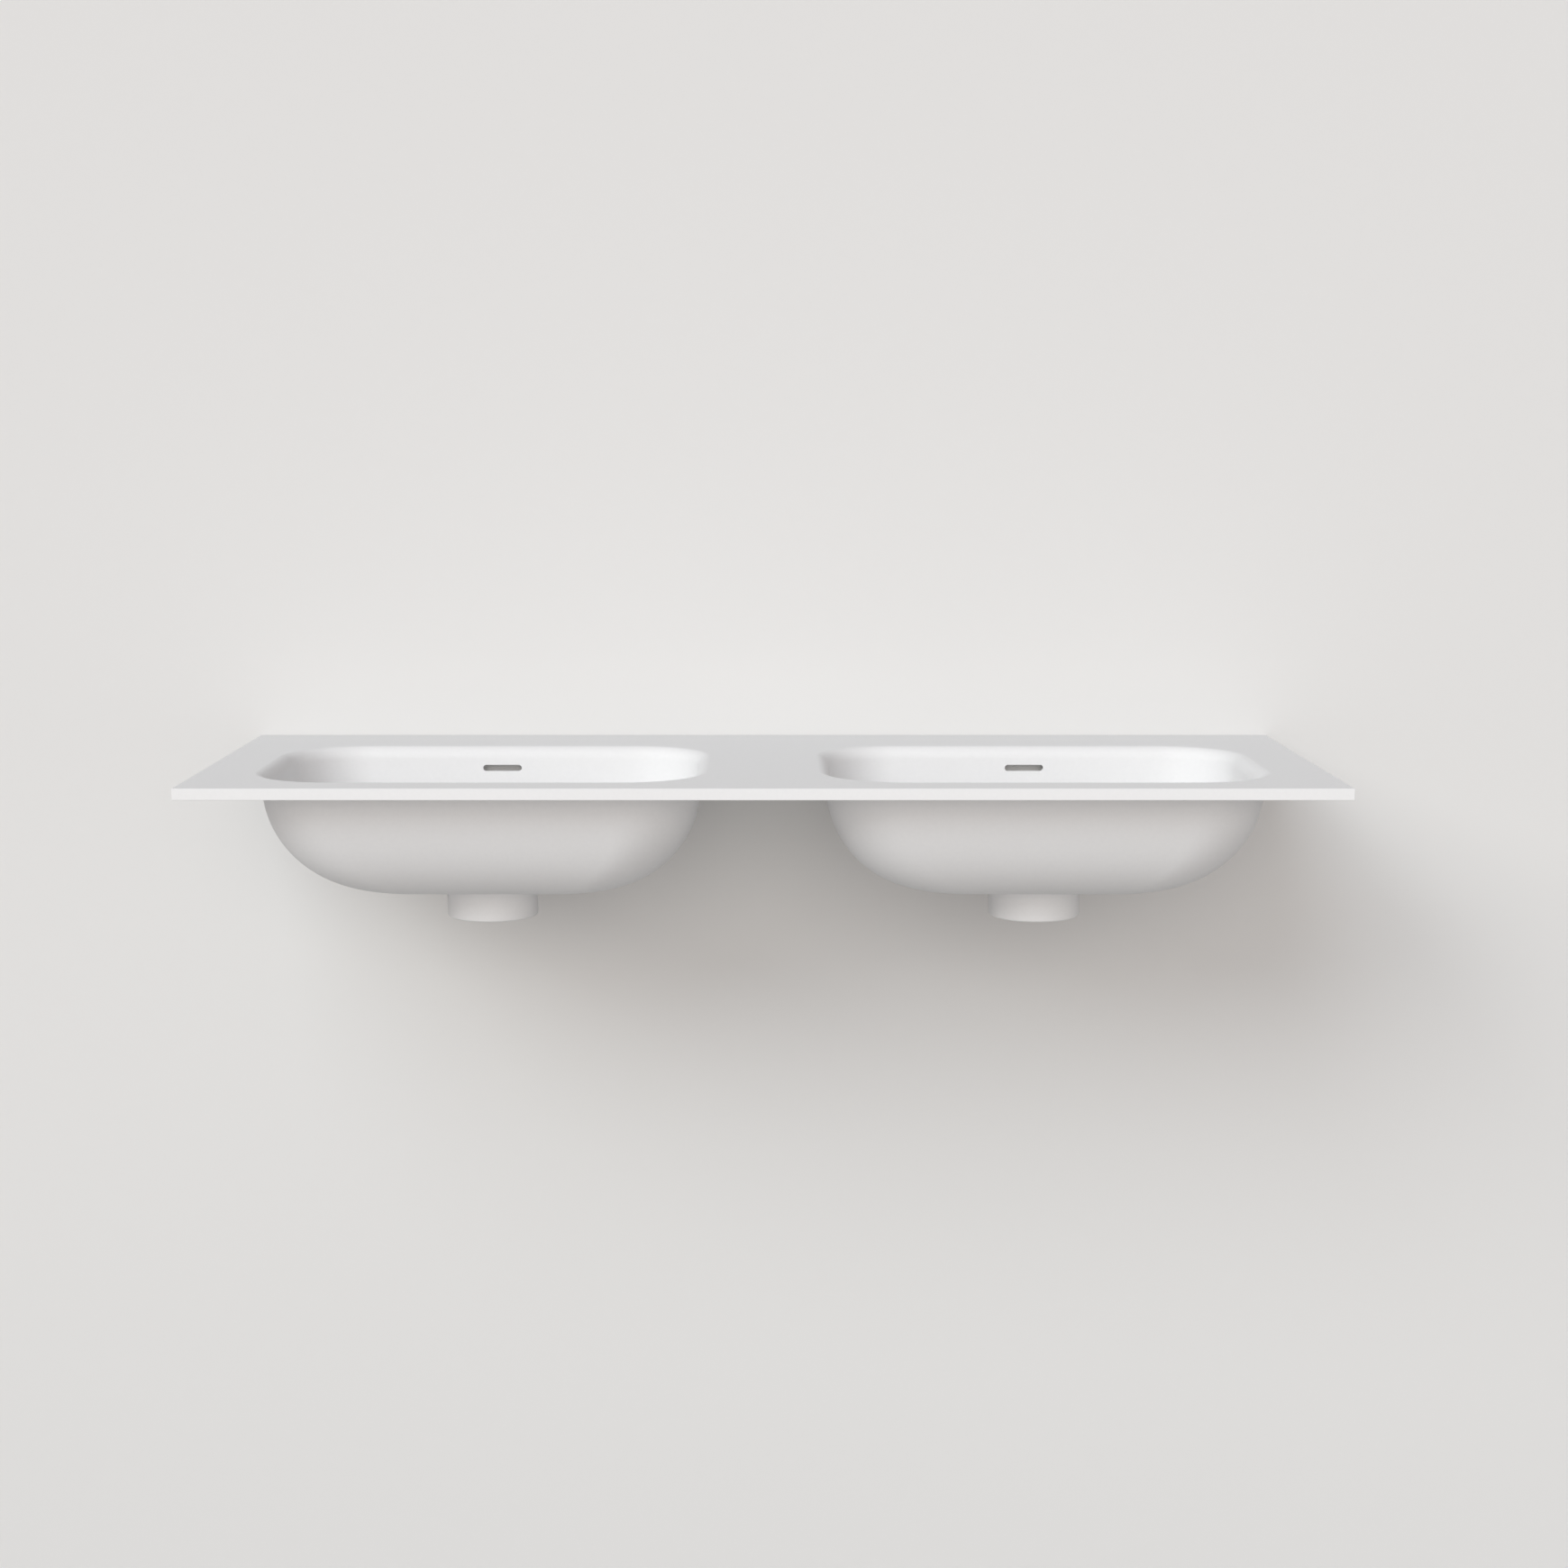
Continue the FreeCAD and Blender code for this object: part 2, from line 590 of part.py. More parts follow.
def make_backnut():
    """The left backnut: a hexagon with eased lower corners, run on the thread."""
    body = new_body("left_backnut", BASIN_X, DRAIN_Y)
    hexagon = new_sketch(body, "hexagon", height=NUT_BASE)
    across_corners = "dims.nut_flats / sqrt(3)"
    turns = [360 * side / NUT_SIDES for side in range(NUT_SIDES)]
    draw_polygon(
        hexagon,
        [(f"{across_corners} * cos({turn} deg)", f"{across_corners} * sin({turn} deg)") for turn in turns],
    )
    block = pad(body, hexagon, "dims.nut_height")
    ease_edges(body, block, "Chamfer", "dims.nut_chamfer", level_at(NUT_BASE))
    bore = new_sketch(body, "nut_bore", height=NUT_BASE)
    draw_circle(bore, "dims.thread_radius + dims.thread_clear")
    pocket(body, bore, "dims.nut_height", backwards=True)
    return body


def make_cartridge():
    """The left plunger guide: a barrel with a blind bore, and a stud that screws into the spider."""
    bore = "(dims.stem_radius + dims.stem_clear)"
    return turned(
        "left_cartridge",
        (
            ("0", SPIDER_BASE), ("dims.guide_stud", SPIDER_BASE), ("dims.guide_stud", HUB_TOP),
            ("dims.guide_radius", HUB_TOP), ("dims.guide_radius", GUIDE_TOP), (bore, GUIDE_TOP),
            (bore, GUIDE_FLOOR), ("0", GUIDE_FLOOR),
        ),
    )


def make_plug_stem():
    """The left plunger: a rod in the guide, with a thinner threaded end in the cap."""
    rod_base = f"({GUIDE_FLOOR} + dims.stem_gap)"
    thread_top = f"({PLUG_HUB_BASE} + dims.stem_engage)"
    return turned(
        "left_plug_stem",
        (
            ("0", rod_base), ("dims.stem_radius", rod_base), ("dims.stem_radius", PLUG_HUB_BASE),
            ("dims.stem_thread", PLUG_HUB_BASE), ("dims.stem_thread", thread_top), ("0", thread_top),
        ),
    )


def make_plug_cap():
    """The left plug cap: a round-edged disc with a boss below that takes the plunger's thread."""
    hole = "(dims.stem_thread + dims.guide_clear)"
    hole_top = f"({PLUG_HUB_BASE} + dims.stem_engage + dims.thread_relief)"
    body = turned(
        "left_plug_cap",
        (
            (hole, PLUG_HUB_BASE), ("dims.plug_hub_radius", PLUG_HUB_BASE),
            ("dims.plug_hub_radius", PLUG_BASE), ("dims.plug_radius", PLUG_BASE),
            ("dims.plug_radius", PLUG_TOP), ("0", PLUG_TOP), ("0", hole_top), (hole, hole_top),
        ),
    )
    ease_edges(body, body.Tip, "Fillet", "dims.plug_round", level_at(PLUG_TOP))
    return body


def mirrored(name, source):
    """The right basin's twin of a left piece."""
    twin = doc.addObject("Part::Mirroring", name)
    twin.Source = source
    twin.Normal = Vector(1, 0, 0)
    return twin


def make_parts():
    """Model every piece, and return the nodes by name."""
    space = basin_space()
    bowl, shell = make_bowl(space)
    left = (
        bowl,
        make_boss(),
        make_duct(shell),
        make_waste_body(),
        make_tailpiece(),
        washer("left_flange_seal", WASTE_HOLE, "dims.flange_radius", FLANGE_SEAT, FLANGE_BASE),
        washer("left_lower_seal", WASTE_HOLE, "dims.lower_seal_radius", NUT_TOP, WEB_BASE),
        make_backnut(),
        make_cartridge(),
        make_plug_stem(),
        make_plug_cap(),
        washer("left_plug_seal", PLUG_SEAL_INNER, PLUG_SEAL_OUTER, FLANGE_TOP, PLUG_BASE),
    )
    pieces = [make_slab(space), *left]
    pieces += [mirrored(piece.Name.replace("left_", "right_"), piece) for piece in left]
    for piece in pieces:
        piece.Label = piece.Name
    doc.recompute()
    return {piece.Label: piece for piece in pieces}


def check_parts(parts):
    """Stop if an object of the document failed or a piece isn't one sound solid."""
    for item in doc.Objects:
        if {"Invalid", "Error"} & set(item.State):
            raise RuntimeError(f"{item.Name} failed: {item.State}")
    for label, piece in parts.items():
        shape = piece.Shape
        if shape.isNull() or not shape.isValid() or len(shape.Solids) != 1:
            raise RuntimeError(f"{label} isn't one sound solid")


def write_parts(parts):
    """Write each piece to its own file and say how large it is."""
    os.makedirs("parts", exist_ok=True)
    for label, piece in parts.items():
        piece.Shape.exportStep(f"parts/{label}.step")
        box = piece.Shape.BoundBox
        spans = ", ".join(f"{low:.2f} to {high:.2f}" for low, high in (
            (box.XMin, box.XMax), (box.YMin, box.YMax), (box.ZMin, box.ZMax)))
        print(f"{label}: {piece.Shape.Volume / 1000:.2f} cm3, {spans}")


vanity_parts = make_parts()
check_parts(vanity_parts)
write_parts(vanity_parts)
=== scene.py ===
"""Looks of a double sink vanity top: a thin solid-surface slab with two moulded bowls, their overflow
ducts, drain bosses and press-to-open wastes, in front of a plain pale wall.

Metres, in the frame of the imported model: +X runs to the right along the slab, +Y to the wall and +Z up,
with the origin in the middle of the slab's underside.
"""
import json
import logging
import math
from dataclasses import dataclass
from enum import Enum
from typing import Sequence

import bmesh
import bpy
from bmesh.types import BMEdge, BMesh
from bpy.types import ID, Material, Mesh, NodeSocket, NodeTree, Object, ShaderNode
from mathutils import Matrix, Vector


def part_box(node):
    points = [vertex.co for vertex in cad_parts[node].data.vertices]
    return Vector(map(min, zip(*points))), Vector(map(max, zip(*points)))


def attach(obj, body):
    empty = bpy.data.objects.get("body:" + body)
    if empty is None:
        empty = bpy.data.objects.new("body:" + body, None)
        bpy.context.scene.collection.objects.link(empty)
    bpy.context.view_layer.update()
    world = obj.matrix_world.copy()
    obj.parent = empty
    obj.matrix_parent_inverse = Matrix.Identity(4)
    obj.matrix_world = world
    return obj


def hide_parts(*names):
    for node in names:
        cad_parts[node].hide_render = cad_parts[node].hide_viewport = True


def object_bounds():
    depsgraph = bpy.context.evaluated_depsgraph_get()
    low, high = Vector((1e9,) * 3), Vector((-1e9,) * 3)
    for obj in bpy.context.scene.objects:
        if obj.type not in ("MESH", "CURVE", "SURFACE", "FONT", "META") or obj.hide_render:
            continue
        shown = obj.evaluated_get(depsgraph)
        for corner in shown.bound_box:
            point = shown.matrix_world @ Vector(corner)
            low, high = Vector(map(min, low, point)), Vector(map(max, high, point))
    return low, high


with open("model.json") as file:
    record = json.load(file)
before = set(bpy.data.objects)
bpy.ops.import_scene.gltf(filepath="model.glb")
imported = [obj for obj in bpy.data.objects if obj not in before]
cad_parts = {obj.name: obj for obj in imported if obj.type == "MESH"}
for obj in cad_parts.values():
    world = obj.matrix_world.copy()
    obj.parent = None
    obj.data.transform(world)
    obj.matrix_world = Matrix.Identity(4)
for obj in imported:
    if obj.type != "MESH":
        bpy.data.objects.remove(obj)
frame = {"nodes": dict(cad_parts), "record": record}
cad_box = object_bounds()

LOG = logging.getLogger("vanity_top")
MM = 0.001
QUARTER = math.pi / 2
FULL_TURN = 2 * math.pi

# Fineness of the meshes
CORNER_STEPS = 28
LIP_STEP = math.radians(2.5)
WALL_STEPS = 40
TURNED_STEPS = 128
EDGE_STEPS = 5
SLOT_STEPS = 10

# Points nearer than this are one point, and edges that turn by more than this look sharp
MERGE = 1e-6
SHARP = math.radians(32)

# How far a cutting shape reaches past what it cuts, and the room in a screwed joint
OVERCUT = 1 * MM
FIT_ROOM = 0.05 * MM

# How far the overflow slot's edge turns outwards
FLARE = math.radians(80)

# The round on a washer's edges, as a share of its thickness
WASHER_ROUND = 0.25

# The signs of a rectangle's corners, in order round it
CORNERS = ((-1, -1), (1, -1), (1, 1), (-1, 1))

# The part of a pattern's range that its values are spread from
MID_RANGE = (0.3, 0.7)

# Octaves of the mottling and of the grain, and the weight of the finer ones
MOTTLE_DETAIL = 4.0
GRAIN_DETAIL = 3.0
FINE_WEIGHT = 0.6

# How much finer than the mottling the gloss changes, and how much of the grain shows
GLOSS_FINENESS = 3
GRAIN_SHOWN = 0.5

Colour = tuple[float, float, float]
Point = tuple[float, float]


class Side(Enum):
    """Which of the two basins a piece belongs to, with the sign of its place along X."""

    LEFT = -1
    RIGHT = 1

    def named(self, piece: str) -> str:
        """The name of this side's copy of a piece."""
        return f"{self.name.lower()}_{piece}"


class Body(Enum):
    """What a piece moves with."""

    TOP = "top"
    PLUG = "plug"

    def of(self, side: Side) -> str:
        """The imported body's name on one side."""
        return self.value if self is Body.TOP else side.named(self.value)


class Tool(Enum):
    """What a second shape does to a first one."""

    ADD = "UNION"
    TAKE = "DIFFERENCE"
    KEEP = "INTERSECT"


class Nodes:
    """The nodes of a material or of the sky."""

    def __init__(self, tree: NodeTree) -> None:
        """Take up a node tree.

        Args:
            tree: the tree that the nodes go into.
        """
        self.nodes = tree.nodes
        self.links = tree.links

    def add(self, kind: str, values: dict[str, float] | None = None, **settings: object) -> ShaderNode:
        """Add a node.

        Args:
            kind: the node's type name.
            values: its sockets' values by name.
            settings: its properties by name.

        Returns:
            The new node.
        """
        node = self.nodes.new(kind)
        for name, value in settings.items():
            setattr(node, name, value)
        for name, value in (values or {}).items():
            node.inputs[name].default_value = value
        return node

    def spread(self, factor: NodeSocket, low: float, high: float) -> NodeSocket:
        """Map a pattern's middle range onto a range of values.

        Args:
            factor: the pattern.
            low: the value for its dark parts.
            high: the value for its bright parts.

        Returns:
            The mapped value.
        """
        start, end = MID_RANGE
        values = {"From Min": start, "From Max": end, "To Min": low, "To Max": high}
        node = self.add("ShaderNodeMapRange", values)
        self.links.new(factor, node.inputs["Value"])
        return node.outputs["Result"]

    def tint(self, factor: NodeSocket, dark: Colour, light: Colour) -> NodeSocket:
        """Colour a pattern.

        Args:
            factor: the pattern.
            dark: the colour of its dark parts.
            light: the colour of its bright parts.

        Returns:
            The colour.
        """
        node = self.add("ShaderNodeMix", data_type="RGBA")
        first, second = (socket for socket in node.inputs if socket.type == "RGBA")
        first.default_value = (*dark, 1)
        second.default_value = (*light, 1)
        self.links.new(self.spread(factor, 0, 1), node.inputs["Factor"])
        return next(socket for socket in node.outputs if socket.type == "RGBA")

    def seen(self) -> NodeSocket:
        """1 for rays that show the stage, straight, mirrored or through glass; 0 for other rays."""
        path = self.add("ShaderNodeLightPath")
        total = path.outputs["Is Camera Ray"]
        for name in ("Is Glossy Ray", "Is Transmission Ray"):
            both = self.add("ShaderNodeMath", operation="ADD", use_clamp=True)
            self.links.new(total, both.inputs[0])
            self.links.new(path.outputs[name], both.inputs[1])
            total = both.outputs[0]
        return total


class Shader(Nodes):
    """A material's nodes: one Principled shader, and patterns on Object coordinates."""

    def __init__(self, name: str) -> None:
        """Start a material.

        Args:
            name: the material's name.
        """
        self.material = bpy.data.materials.new(name)
        self.material.use_nodes = True
        super().__init__(self.material.node_tree)
        self.surface = self.nodes["Principled BSDF"]
        self.place = self.add("ShaderNodeTexCoord").outputs["Object"]

    def fix(self, **values: object) -> None:
        """Set constants on the Principled shader's own sockets.

        Args:
            values: socket names, with underscores for spaces, and their values.
        """
        for name, value in values.items():
            self.surface.inputs[name.replace("_", " ")].default_value = value

    def noise(self, scale: float, detail: float, roughness: float = 0.5) -> NodeSocket:
        """A noise pattern.

        Args:
            scale: features per metre.
            detail: octaves of finer features.
            roughness: weight of the finer octaves.

        Returns:
            The pattern's factor, about 0.5 on average.
        """
        values = {"Scale": scale, "Detail": detail, "Roughness": roughness}
        node = self.add("ShaderNodeTexNoise", values)
        self.links.new(self.place, node.inputs["Vector"])
        return node.outputs["Fac"]

    def wire(self, name: str, value: NodeSocket) -> None:
        """Link a pattern to one of the Principled shader's sockets."""
        self.links.new(value, self.surface.inputs[name])

    def bump(self, height: NodeSocket, depth: float, strength: float) -> None:
        """Raise a pattern on the surface.

        Args:
            height: the pattern.
            depth: its depth in metres.
            strength: how much of it shows, up to 1.
        """
        node = self.add("ShaderNodeBump", {"Distance": depth, "Strength": strength})
        self.links.new(height, node.inputs["Height"])
        self.wire("Normal", node.outputs["Normal"])


@dataclass(frozen=True)
class Finish:
    """A finish for one of the record's material slots.

    Attributes:
        slot: the record's slot.
        dark: colour of the darker parts of its faint mottling.
        light: colour of the lighter parts.
        mottle: mottling features per metre.
        gloss: least and greatest roughness.
        grain: surface grain features per metre.
        grain_depth: depth of the grain.
        metal: 1 for a metal.
        specular: strength of a non-metal's mirror reflection.
    """

    slot: str
    dark: Colour
    light: Colour
    mottle: float
    gloss: tuple[float, float]
    grain: float
    grain_depth: float
    metal: float = 0.0
    specular: float = 0.5

    def material(self) -> Material:
        """The finish's material, made once."""
        found = bpy.data.materials.get(f"{self.slot}_finish")
        return found or self.make()

    def make(self) -> Material:
        """Lay out the nodes.

        Returns:
            The new material.
        """
        shader = Shader(f"{self.slot}_finish")
        shader.fix(Metallic=self.metal, Specular_IOR_Level=self.specular)
        mottle = shader.noise(self.mottle, MOTTLE_DETAIL, FINE_WEIGHT)
        shader.wire("Base Color", shader.tint(mottle, self.dark, self.light))
        patches = shader.noise(self.mottle * GLOSS_FINENESS, GRAIN_DETAIL)
        shader.wire("Roughness", shader.spread(patches, *self.gloss))
        grain = shader.noise(self.grain, GRAIN_DETAIL, FINE_WEIGHT)
        shader.bump(grain, self.grain_depth, GRAIN_SHOWN)
        return shader.material


SOLID_SURFACE = Finish(
    slot="solid_surface", dark=(0.852, 0.853, 0.854), light=(0.868, 0.869, 0.87), mottle=240,
    gloss=(0.6, 0.7), grain=1500, grain_depth=0.02 * MM, specular=0.12,
)
PLUG_WHITE = Finish(
    slot="plug_white", dark=(0.852, 0.854, 0.857), light=(0.88, 0.882, 0.883), mottle=90,
    gloss=(0.3, 0.4), grain=2000, grain_depth=0.02 * MM,
)
DUCT_PLASTIC = Finish(
    slot="duct_plastic", dark=(0.86, 0.86, 0.85), light=(0.89, 0.89, 0.88), mottle=70,
    gloss=(0.5, 0.65), grain=900, grain_depth=0.08 * MM,
)
CHROME = Finish(
    slot="chromed_brass", dark=(0.74, 0.75, 0.77), light=(0.8, 0.81, 0.83), mottle=120,
    gloss=(0.07, 0.16), grain=500, grain_depth=0.01 * MM, metal=1.0,
)
BRASS = Finish(
    slot="plain_brass", dark=(0.58, 0.42, 0.19), light=(0.74, 0.57, 0.3), mottle=160,
    gloss=(0.28, 0.45), grain=1800, grain_depth=0.03 * MM, metal=1.0,
)
RUBBER = Finish(
    slot="seal_rubber", dark=(0.02, 0.02, 0.021), light=(0.04, 0.04, 0.041), mottle=200,
    gloss=(0.6, 0.75), grain=1600, grain_depth=0.05 * MM, specular=0.3,
)
GUIDE_PLASTIC = Finish(
    slot="guide_plastic", dark=(0.1, 0.1, 0.105), light=(0.15, 0.15, 0.155), mottle=150,
    gloss=(0.4, 0.52), grain=1400, grain_depth=0.03 * MM,
)
STEEL = Finish(
    slot="stem_steel", dark=(0.5, 0.5, 0.51), light=(0.64, 0.64, 0.65), mottle=260,
    gloss=(0.2, 0.34), grain=2500, grain_depth=0.02 * MM, metal=1.0,
)
FINISHES = (SOLID_SURFACE, PLUG_WHITE, DUCT_PLASTIC, CHROME, BRASS, RUBBER, GUIDE_PLASTIC, STEEL)


def dress_nodes() -> None:
    """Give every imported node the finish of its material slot."""
    finish_of = {finish.slot: finish for finish in FINISHES}
    for subpart in frame["record"]["subparts"]:
        mesh = frame["nodes"][subpart["node"]].data
        mesh.materials.clear()
        mesh.materials.append(finish_of[subpart["material_slot"]].material())


def add_object(name: str, data: ID) -> Object:
    """Make an object of some data and put it in the scene."""
    item = bpy.data.objects.new(name, data)
    bpy.context.scene.collection.objects.link(item)
    return item


def bare_loop(bm: BMesh, points: Sequence[Vector], rounds: Sequence[float], steps: int) -> list[BMEdge]:
    """A closed loop of edges through a few corners, each rounded by its own radius.

    Args:
        bm: the mesh that the loop goes into.
        points: the corners in order.
        rounds: the corners' rounding, 0 for a sharp one.
        steps: segments in each rounded corner.

    Returns:
        The loop's edges.
    """
    known = set(bm.verts)
    corners = [bm.verts.new(point) for point in points]
    bm.faces.new(corners)
    for size in sorted(set(rounds) - {0}):
        bmesh.ops.bevel(
            bm, geom=[corner for corner, own in zip(corners, rounds) if own == size], offset=size,
            offset_type="OFFSET", segments=steps, profile=0.5, affect="VERTICES", material=-1,
        )
    made = [vert for vert in bm.verts if vert not in known]
    faces = {face for vert in made for face in vert.link_faces}
    bmesh.ops.delete(bm, geom=list(faces), context="FACES_ONLY")
    return list({edge for vert in made for edge in vert.link_edges})


def ring_loop(bm: BMesh, middle: Point, radius: float, height: float) -> list[BMEdge]:
    """A level circle of edges.

    Args:
        bm: the mesh that the circle goes into.
        middle: its middle in plan.
        radius: its radius.
        height: its height.

    Returns:
        The circle's edges.
    """
    place = Matrix.Translation((*middle, height))
    made = bmesh.ops.create_circle(
        bm, cap_ends=False, segments=TURNED_STEPS, radius=radius, matrix=place,
    )
    return list({edge for vert in made["verts"] for edge in vert.link_edges})


def skin(bm: BMesh, loops: Sequence[list[BMEdge]]) -> None:
    """Stretch faces from each loop to the next, as a flat ring where both lie at one height."""
    for first, second in zip(loops, loops[1:]):
        heights = [vert.co.z for edge in first + second for vert in edge.verts]
        if max(heights) - min(heights) < MERGE:
            fill(bm, first, second)
        else:
            bmesh.ops.bridge_loops(bm, edges=first + second)


def fill(bm: BMesh, *loops: list[BMEdge]) -> None:
    """Close a flat outline, leaving out the loops inside it."""
    bmesh.ops.triangle_fill(bm, use_beauty=True, edges=[edge for loop in loops for edge in loop])


def combine(bm: BMesh, *tools: tuple[Tool, BMesh]) -> Mesh:
    """Work on a closed shape with others, one after another.

    Args:
        bm: the shape to work on, which is used up.
        tools: what each other closed shape does to it, and that shape, which is used up.

    Returns:
        The finished mesh.
    """
    work = add_object("work", as_mesh(bm, "work"))
    shapes = [add_object("tool", as_mesh(shape, "tool")) for _, shape in tools]
    for (action, _), shape in zip(tools, shapes):
        step = work.modifiers.new("step", "BOOLEAN")
        step.operation = action.value
        step.object = shape
        step.solver = "EXACT"
    made = bmesh.new()
    made.from_object(work, bpy.context.evaluated_depsgraph_get())
    for item in (work, *shapes):
        bpy.data.objects.remove(item)
    return as_mesh(made, "shape")


def as_mesh(bm: BMesh, name: str) -> Mesh:
    """Close a finished bmesh into a mesh with its faces outwards.

    Args:
        bm: the finished bmesh, which is used up.
        name: the mesh's name.

    Returns:
        The mesh.
    """
    bmesh.ops.remove_doubles(bm, verts=bm.verts[:], dist=MERGE)
    bmesh.ops.recalc_face_normals(bm, faces=bm.faces[:])
    mesh = bpy.data.meshes.new(name)
    bm.to_mesh(mesh)
    bm.free()
    return mesh


def settle(mesh: Mesh, name: str, finish: Finish, body: str, *nodes: str) -> None:
    """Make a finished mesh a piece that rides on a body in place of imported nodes.

    Args:
        mesh: the finished mesh.
        name: the piece's name.
        finish: its finish.
        body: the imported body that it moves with.
        nodes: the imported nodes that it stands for.
    """
    mesh.materials.clear()
    mesh.materials.append(finish.material())
    mesh.shade_smooth()
    mesh.set_sharp_from_angle(angle=SHARP)
    piece = add_object(name, mesh)
    normals = piece.modifiers.new("even_normals", "WEIGHTED_NORMAL")
    normals.keep_sharp = True
    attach(piece, body)
    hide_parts(*nodes)
    LOG.info("%s: %d faces on %s", name, len(mesh.polygons), body)


def block(low: Vector, high: Vector) -> BMesh:
    """A box between two corners."""
    bm = bmesh.new()
    place = Matrix.Translation((low + high) / 2) @ Matrix.Diagonal((*(high - low), 1))
    bmesh.ops.create_cube(bm, size=1, matrix=place)
    return bm


@dataclass(frozen=True)
class Turning:
    """Where a turned piece stands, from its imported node.

    Attributes:
        name: the node's name.
        middle: its upright axis in plan.
        radius: its greatest radius.
        low: the height of its lower end.
        high: the height of its upper end.
    """

    name: str
    middle: Point
    radius: float
    low: float
    high: float

    @classmethod
    def of(cls, node: str) -> "Turning":
        """Read a node's place."""
        low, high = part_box(node)
        middle = (low.x + high.x) / 2, (low.y + high.y) / 2
        return cls(node, middle, (high.x - low.x) / 2, low.z, high.z)

    def shape(self, *section: tuple[float, float, float]) -> BMesh:
        """Turn a half section round the axis.

        Args:
            section: its corners as radius, height and rounding.

        Returns:
            The turned shape, closed.
        """
        bm = bmesh.new()
        x, y = self.middle
        points = [Vector((x + radius, y, height)) for radius, height, _ in section]
        edges = bare_loop(bm, points, [size for _, _, size in section], EDGE_STEPS)
        on_axis = [edge for edge in edges if all(abs(vert.co.x - x) < MERGE for vert in edge.verts)]
        bmesh.ops.delete(bm, geom=on_axis, context="EDGES")
        bmesh.ops.spin(
            bm, geom=bm.verts[:] + bm.edges[:], cent=(x, y, 0), axis=(0, 0, 1), angle=FULL_TURN,
            steps=TURNED_STEPS, use_merge=True,
        )
        return bm

    def washer(self, hole: float) -> BMesh:
        """A flat ring with rounded edges, as high and wide as the node.

        Args:
            hole: the radius of its hole.

        Returns:
            The ring, closed.
        """
        ease = (self.high - self.low) * WASHER_ROUND
        sides = ((hole, self.low), (self.radius, self.low), (self.radius, self.high), (hole, self.high))
        return self.shape(*((radius, height, ease) for radius, height in sides))

    def around(self, bm: BMesh, turn: float) -> BMesh:
        """Set a shape that was drawn about the origin on the axis, turned round it."""
        place = Matrix.Translation((*self.middle, 0)) @ Matrix.Rotation(turn, 4, "Z")
        bmesh.ops.transform(bm, matrix=place, verts=bm.verts[:])
        return bm


@dataclass(frozen=True)
class Fitting:
    """Something that each basin has.

    Attributes:
        side: which basin.
    """

    side: Side

    def packed(self, piece: str) -> Turning:
        """Where this side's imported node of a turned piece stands."""
        return Turning.of(self.side.named(piece))

    def put(self, mesh: Mesh, name: str, finish: Finish, node: str, body: Body = Body.TOP) -> None:
        """Settle one of this side's pieces in place of its node.

        Args:
            mesh: the finished mesh.
            name: the piece's name without its side.
            finish: its finish.
            node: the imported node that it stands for.
            body: what it moves with.
        """
        settle(mesh, self.side.named(name), finish, body.of(self.side), node)


@dataclass(frozen=True)
class Level:
    """A rounded rectangle at one height of a basin.

    Attributes:
        half: half its size along X and Y.
        corner: its corner radius.
        middle: its middle in plan.
        height: its height.
    """

    half: Point
    corner: float
    middle: Point
    height: float

    @property
    def rear(self) -> float:
        """Where its rear side lies along Y."""
        return self.middle[1] + self.half[1]

    def loop(self, bm: BMesh) -> list[BMEdge]:
        """Draw it as a loop of edges."""
        (x, y), (across, deep) = self.middle, self.half
        points = [
            Vector((x + right * across, y + rear * deep, self.height))
            for right, rear in CORNERS
        ]
        return bare_loop(bm, points, [self.corner] * len(points), CORNER_STEPS)


@dataclass(frozen=True)
class WallTurn:
    """A surface that turns like a quarter of an ellipse, from upright at its rim to level at its foot.

    Attributes:
        rim: its upper outline.
        foot: its lower outline.
    """

    rim: Level
    foot: Level

    def level(self, turn: float) -> Level:
        """The outline at a turn, from 0 at the rim to a quarter turn at the foot."""
        share, fall = math.cos(turn), math.sin(turn)
        ends = [(*end.half, end.corner, *end.middle) for end in (self.foot, self.rim)]
        half_x, half_y, corner, x, y = (low + (high - low) * share for low, high in zip(*ends))
        height = self.rim.height + (self.foot.height - self.rim.height) * fall
        return Level((half_x, half_y), corner, (x, y), height)

    def turn_at(self, height: float) -> float:
        """The turn at a height."""
        return math.asin((self.rim.height - height) / (self.rim.height - self.foot.height))

    def levels(self, start: float = 0.0) -> list[Level]:
        """The outlines from a turn down to the foot."""
        turns = [start + (QUARTER - start) * step / WALL_STEPS for step in range(WALL_STEPS + 1)]
        return [self.level(turn) for turn in turns]


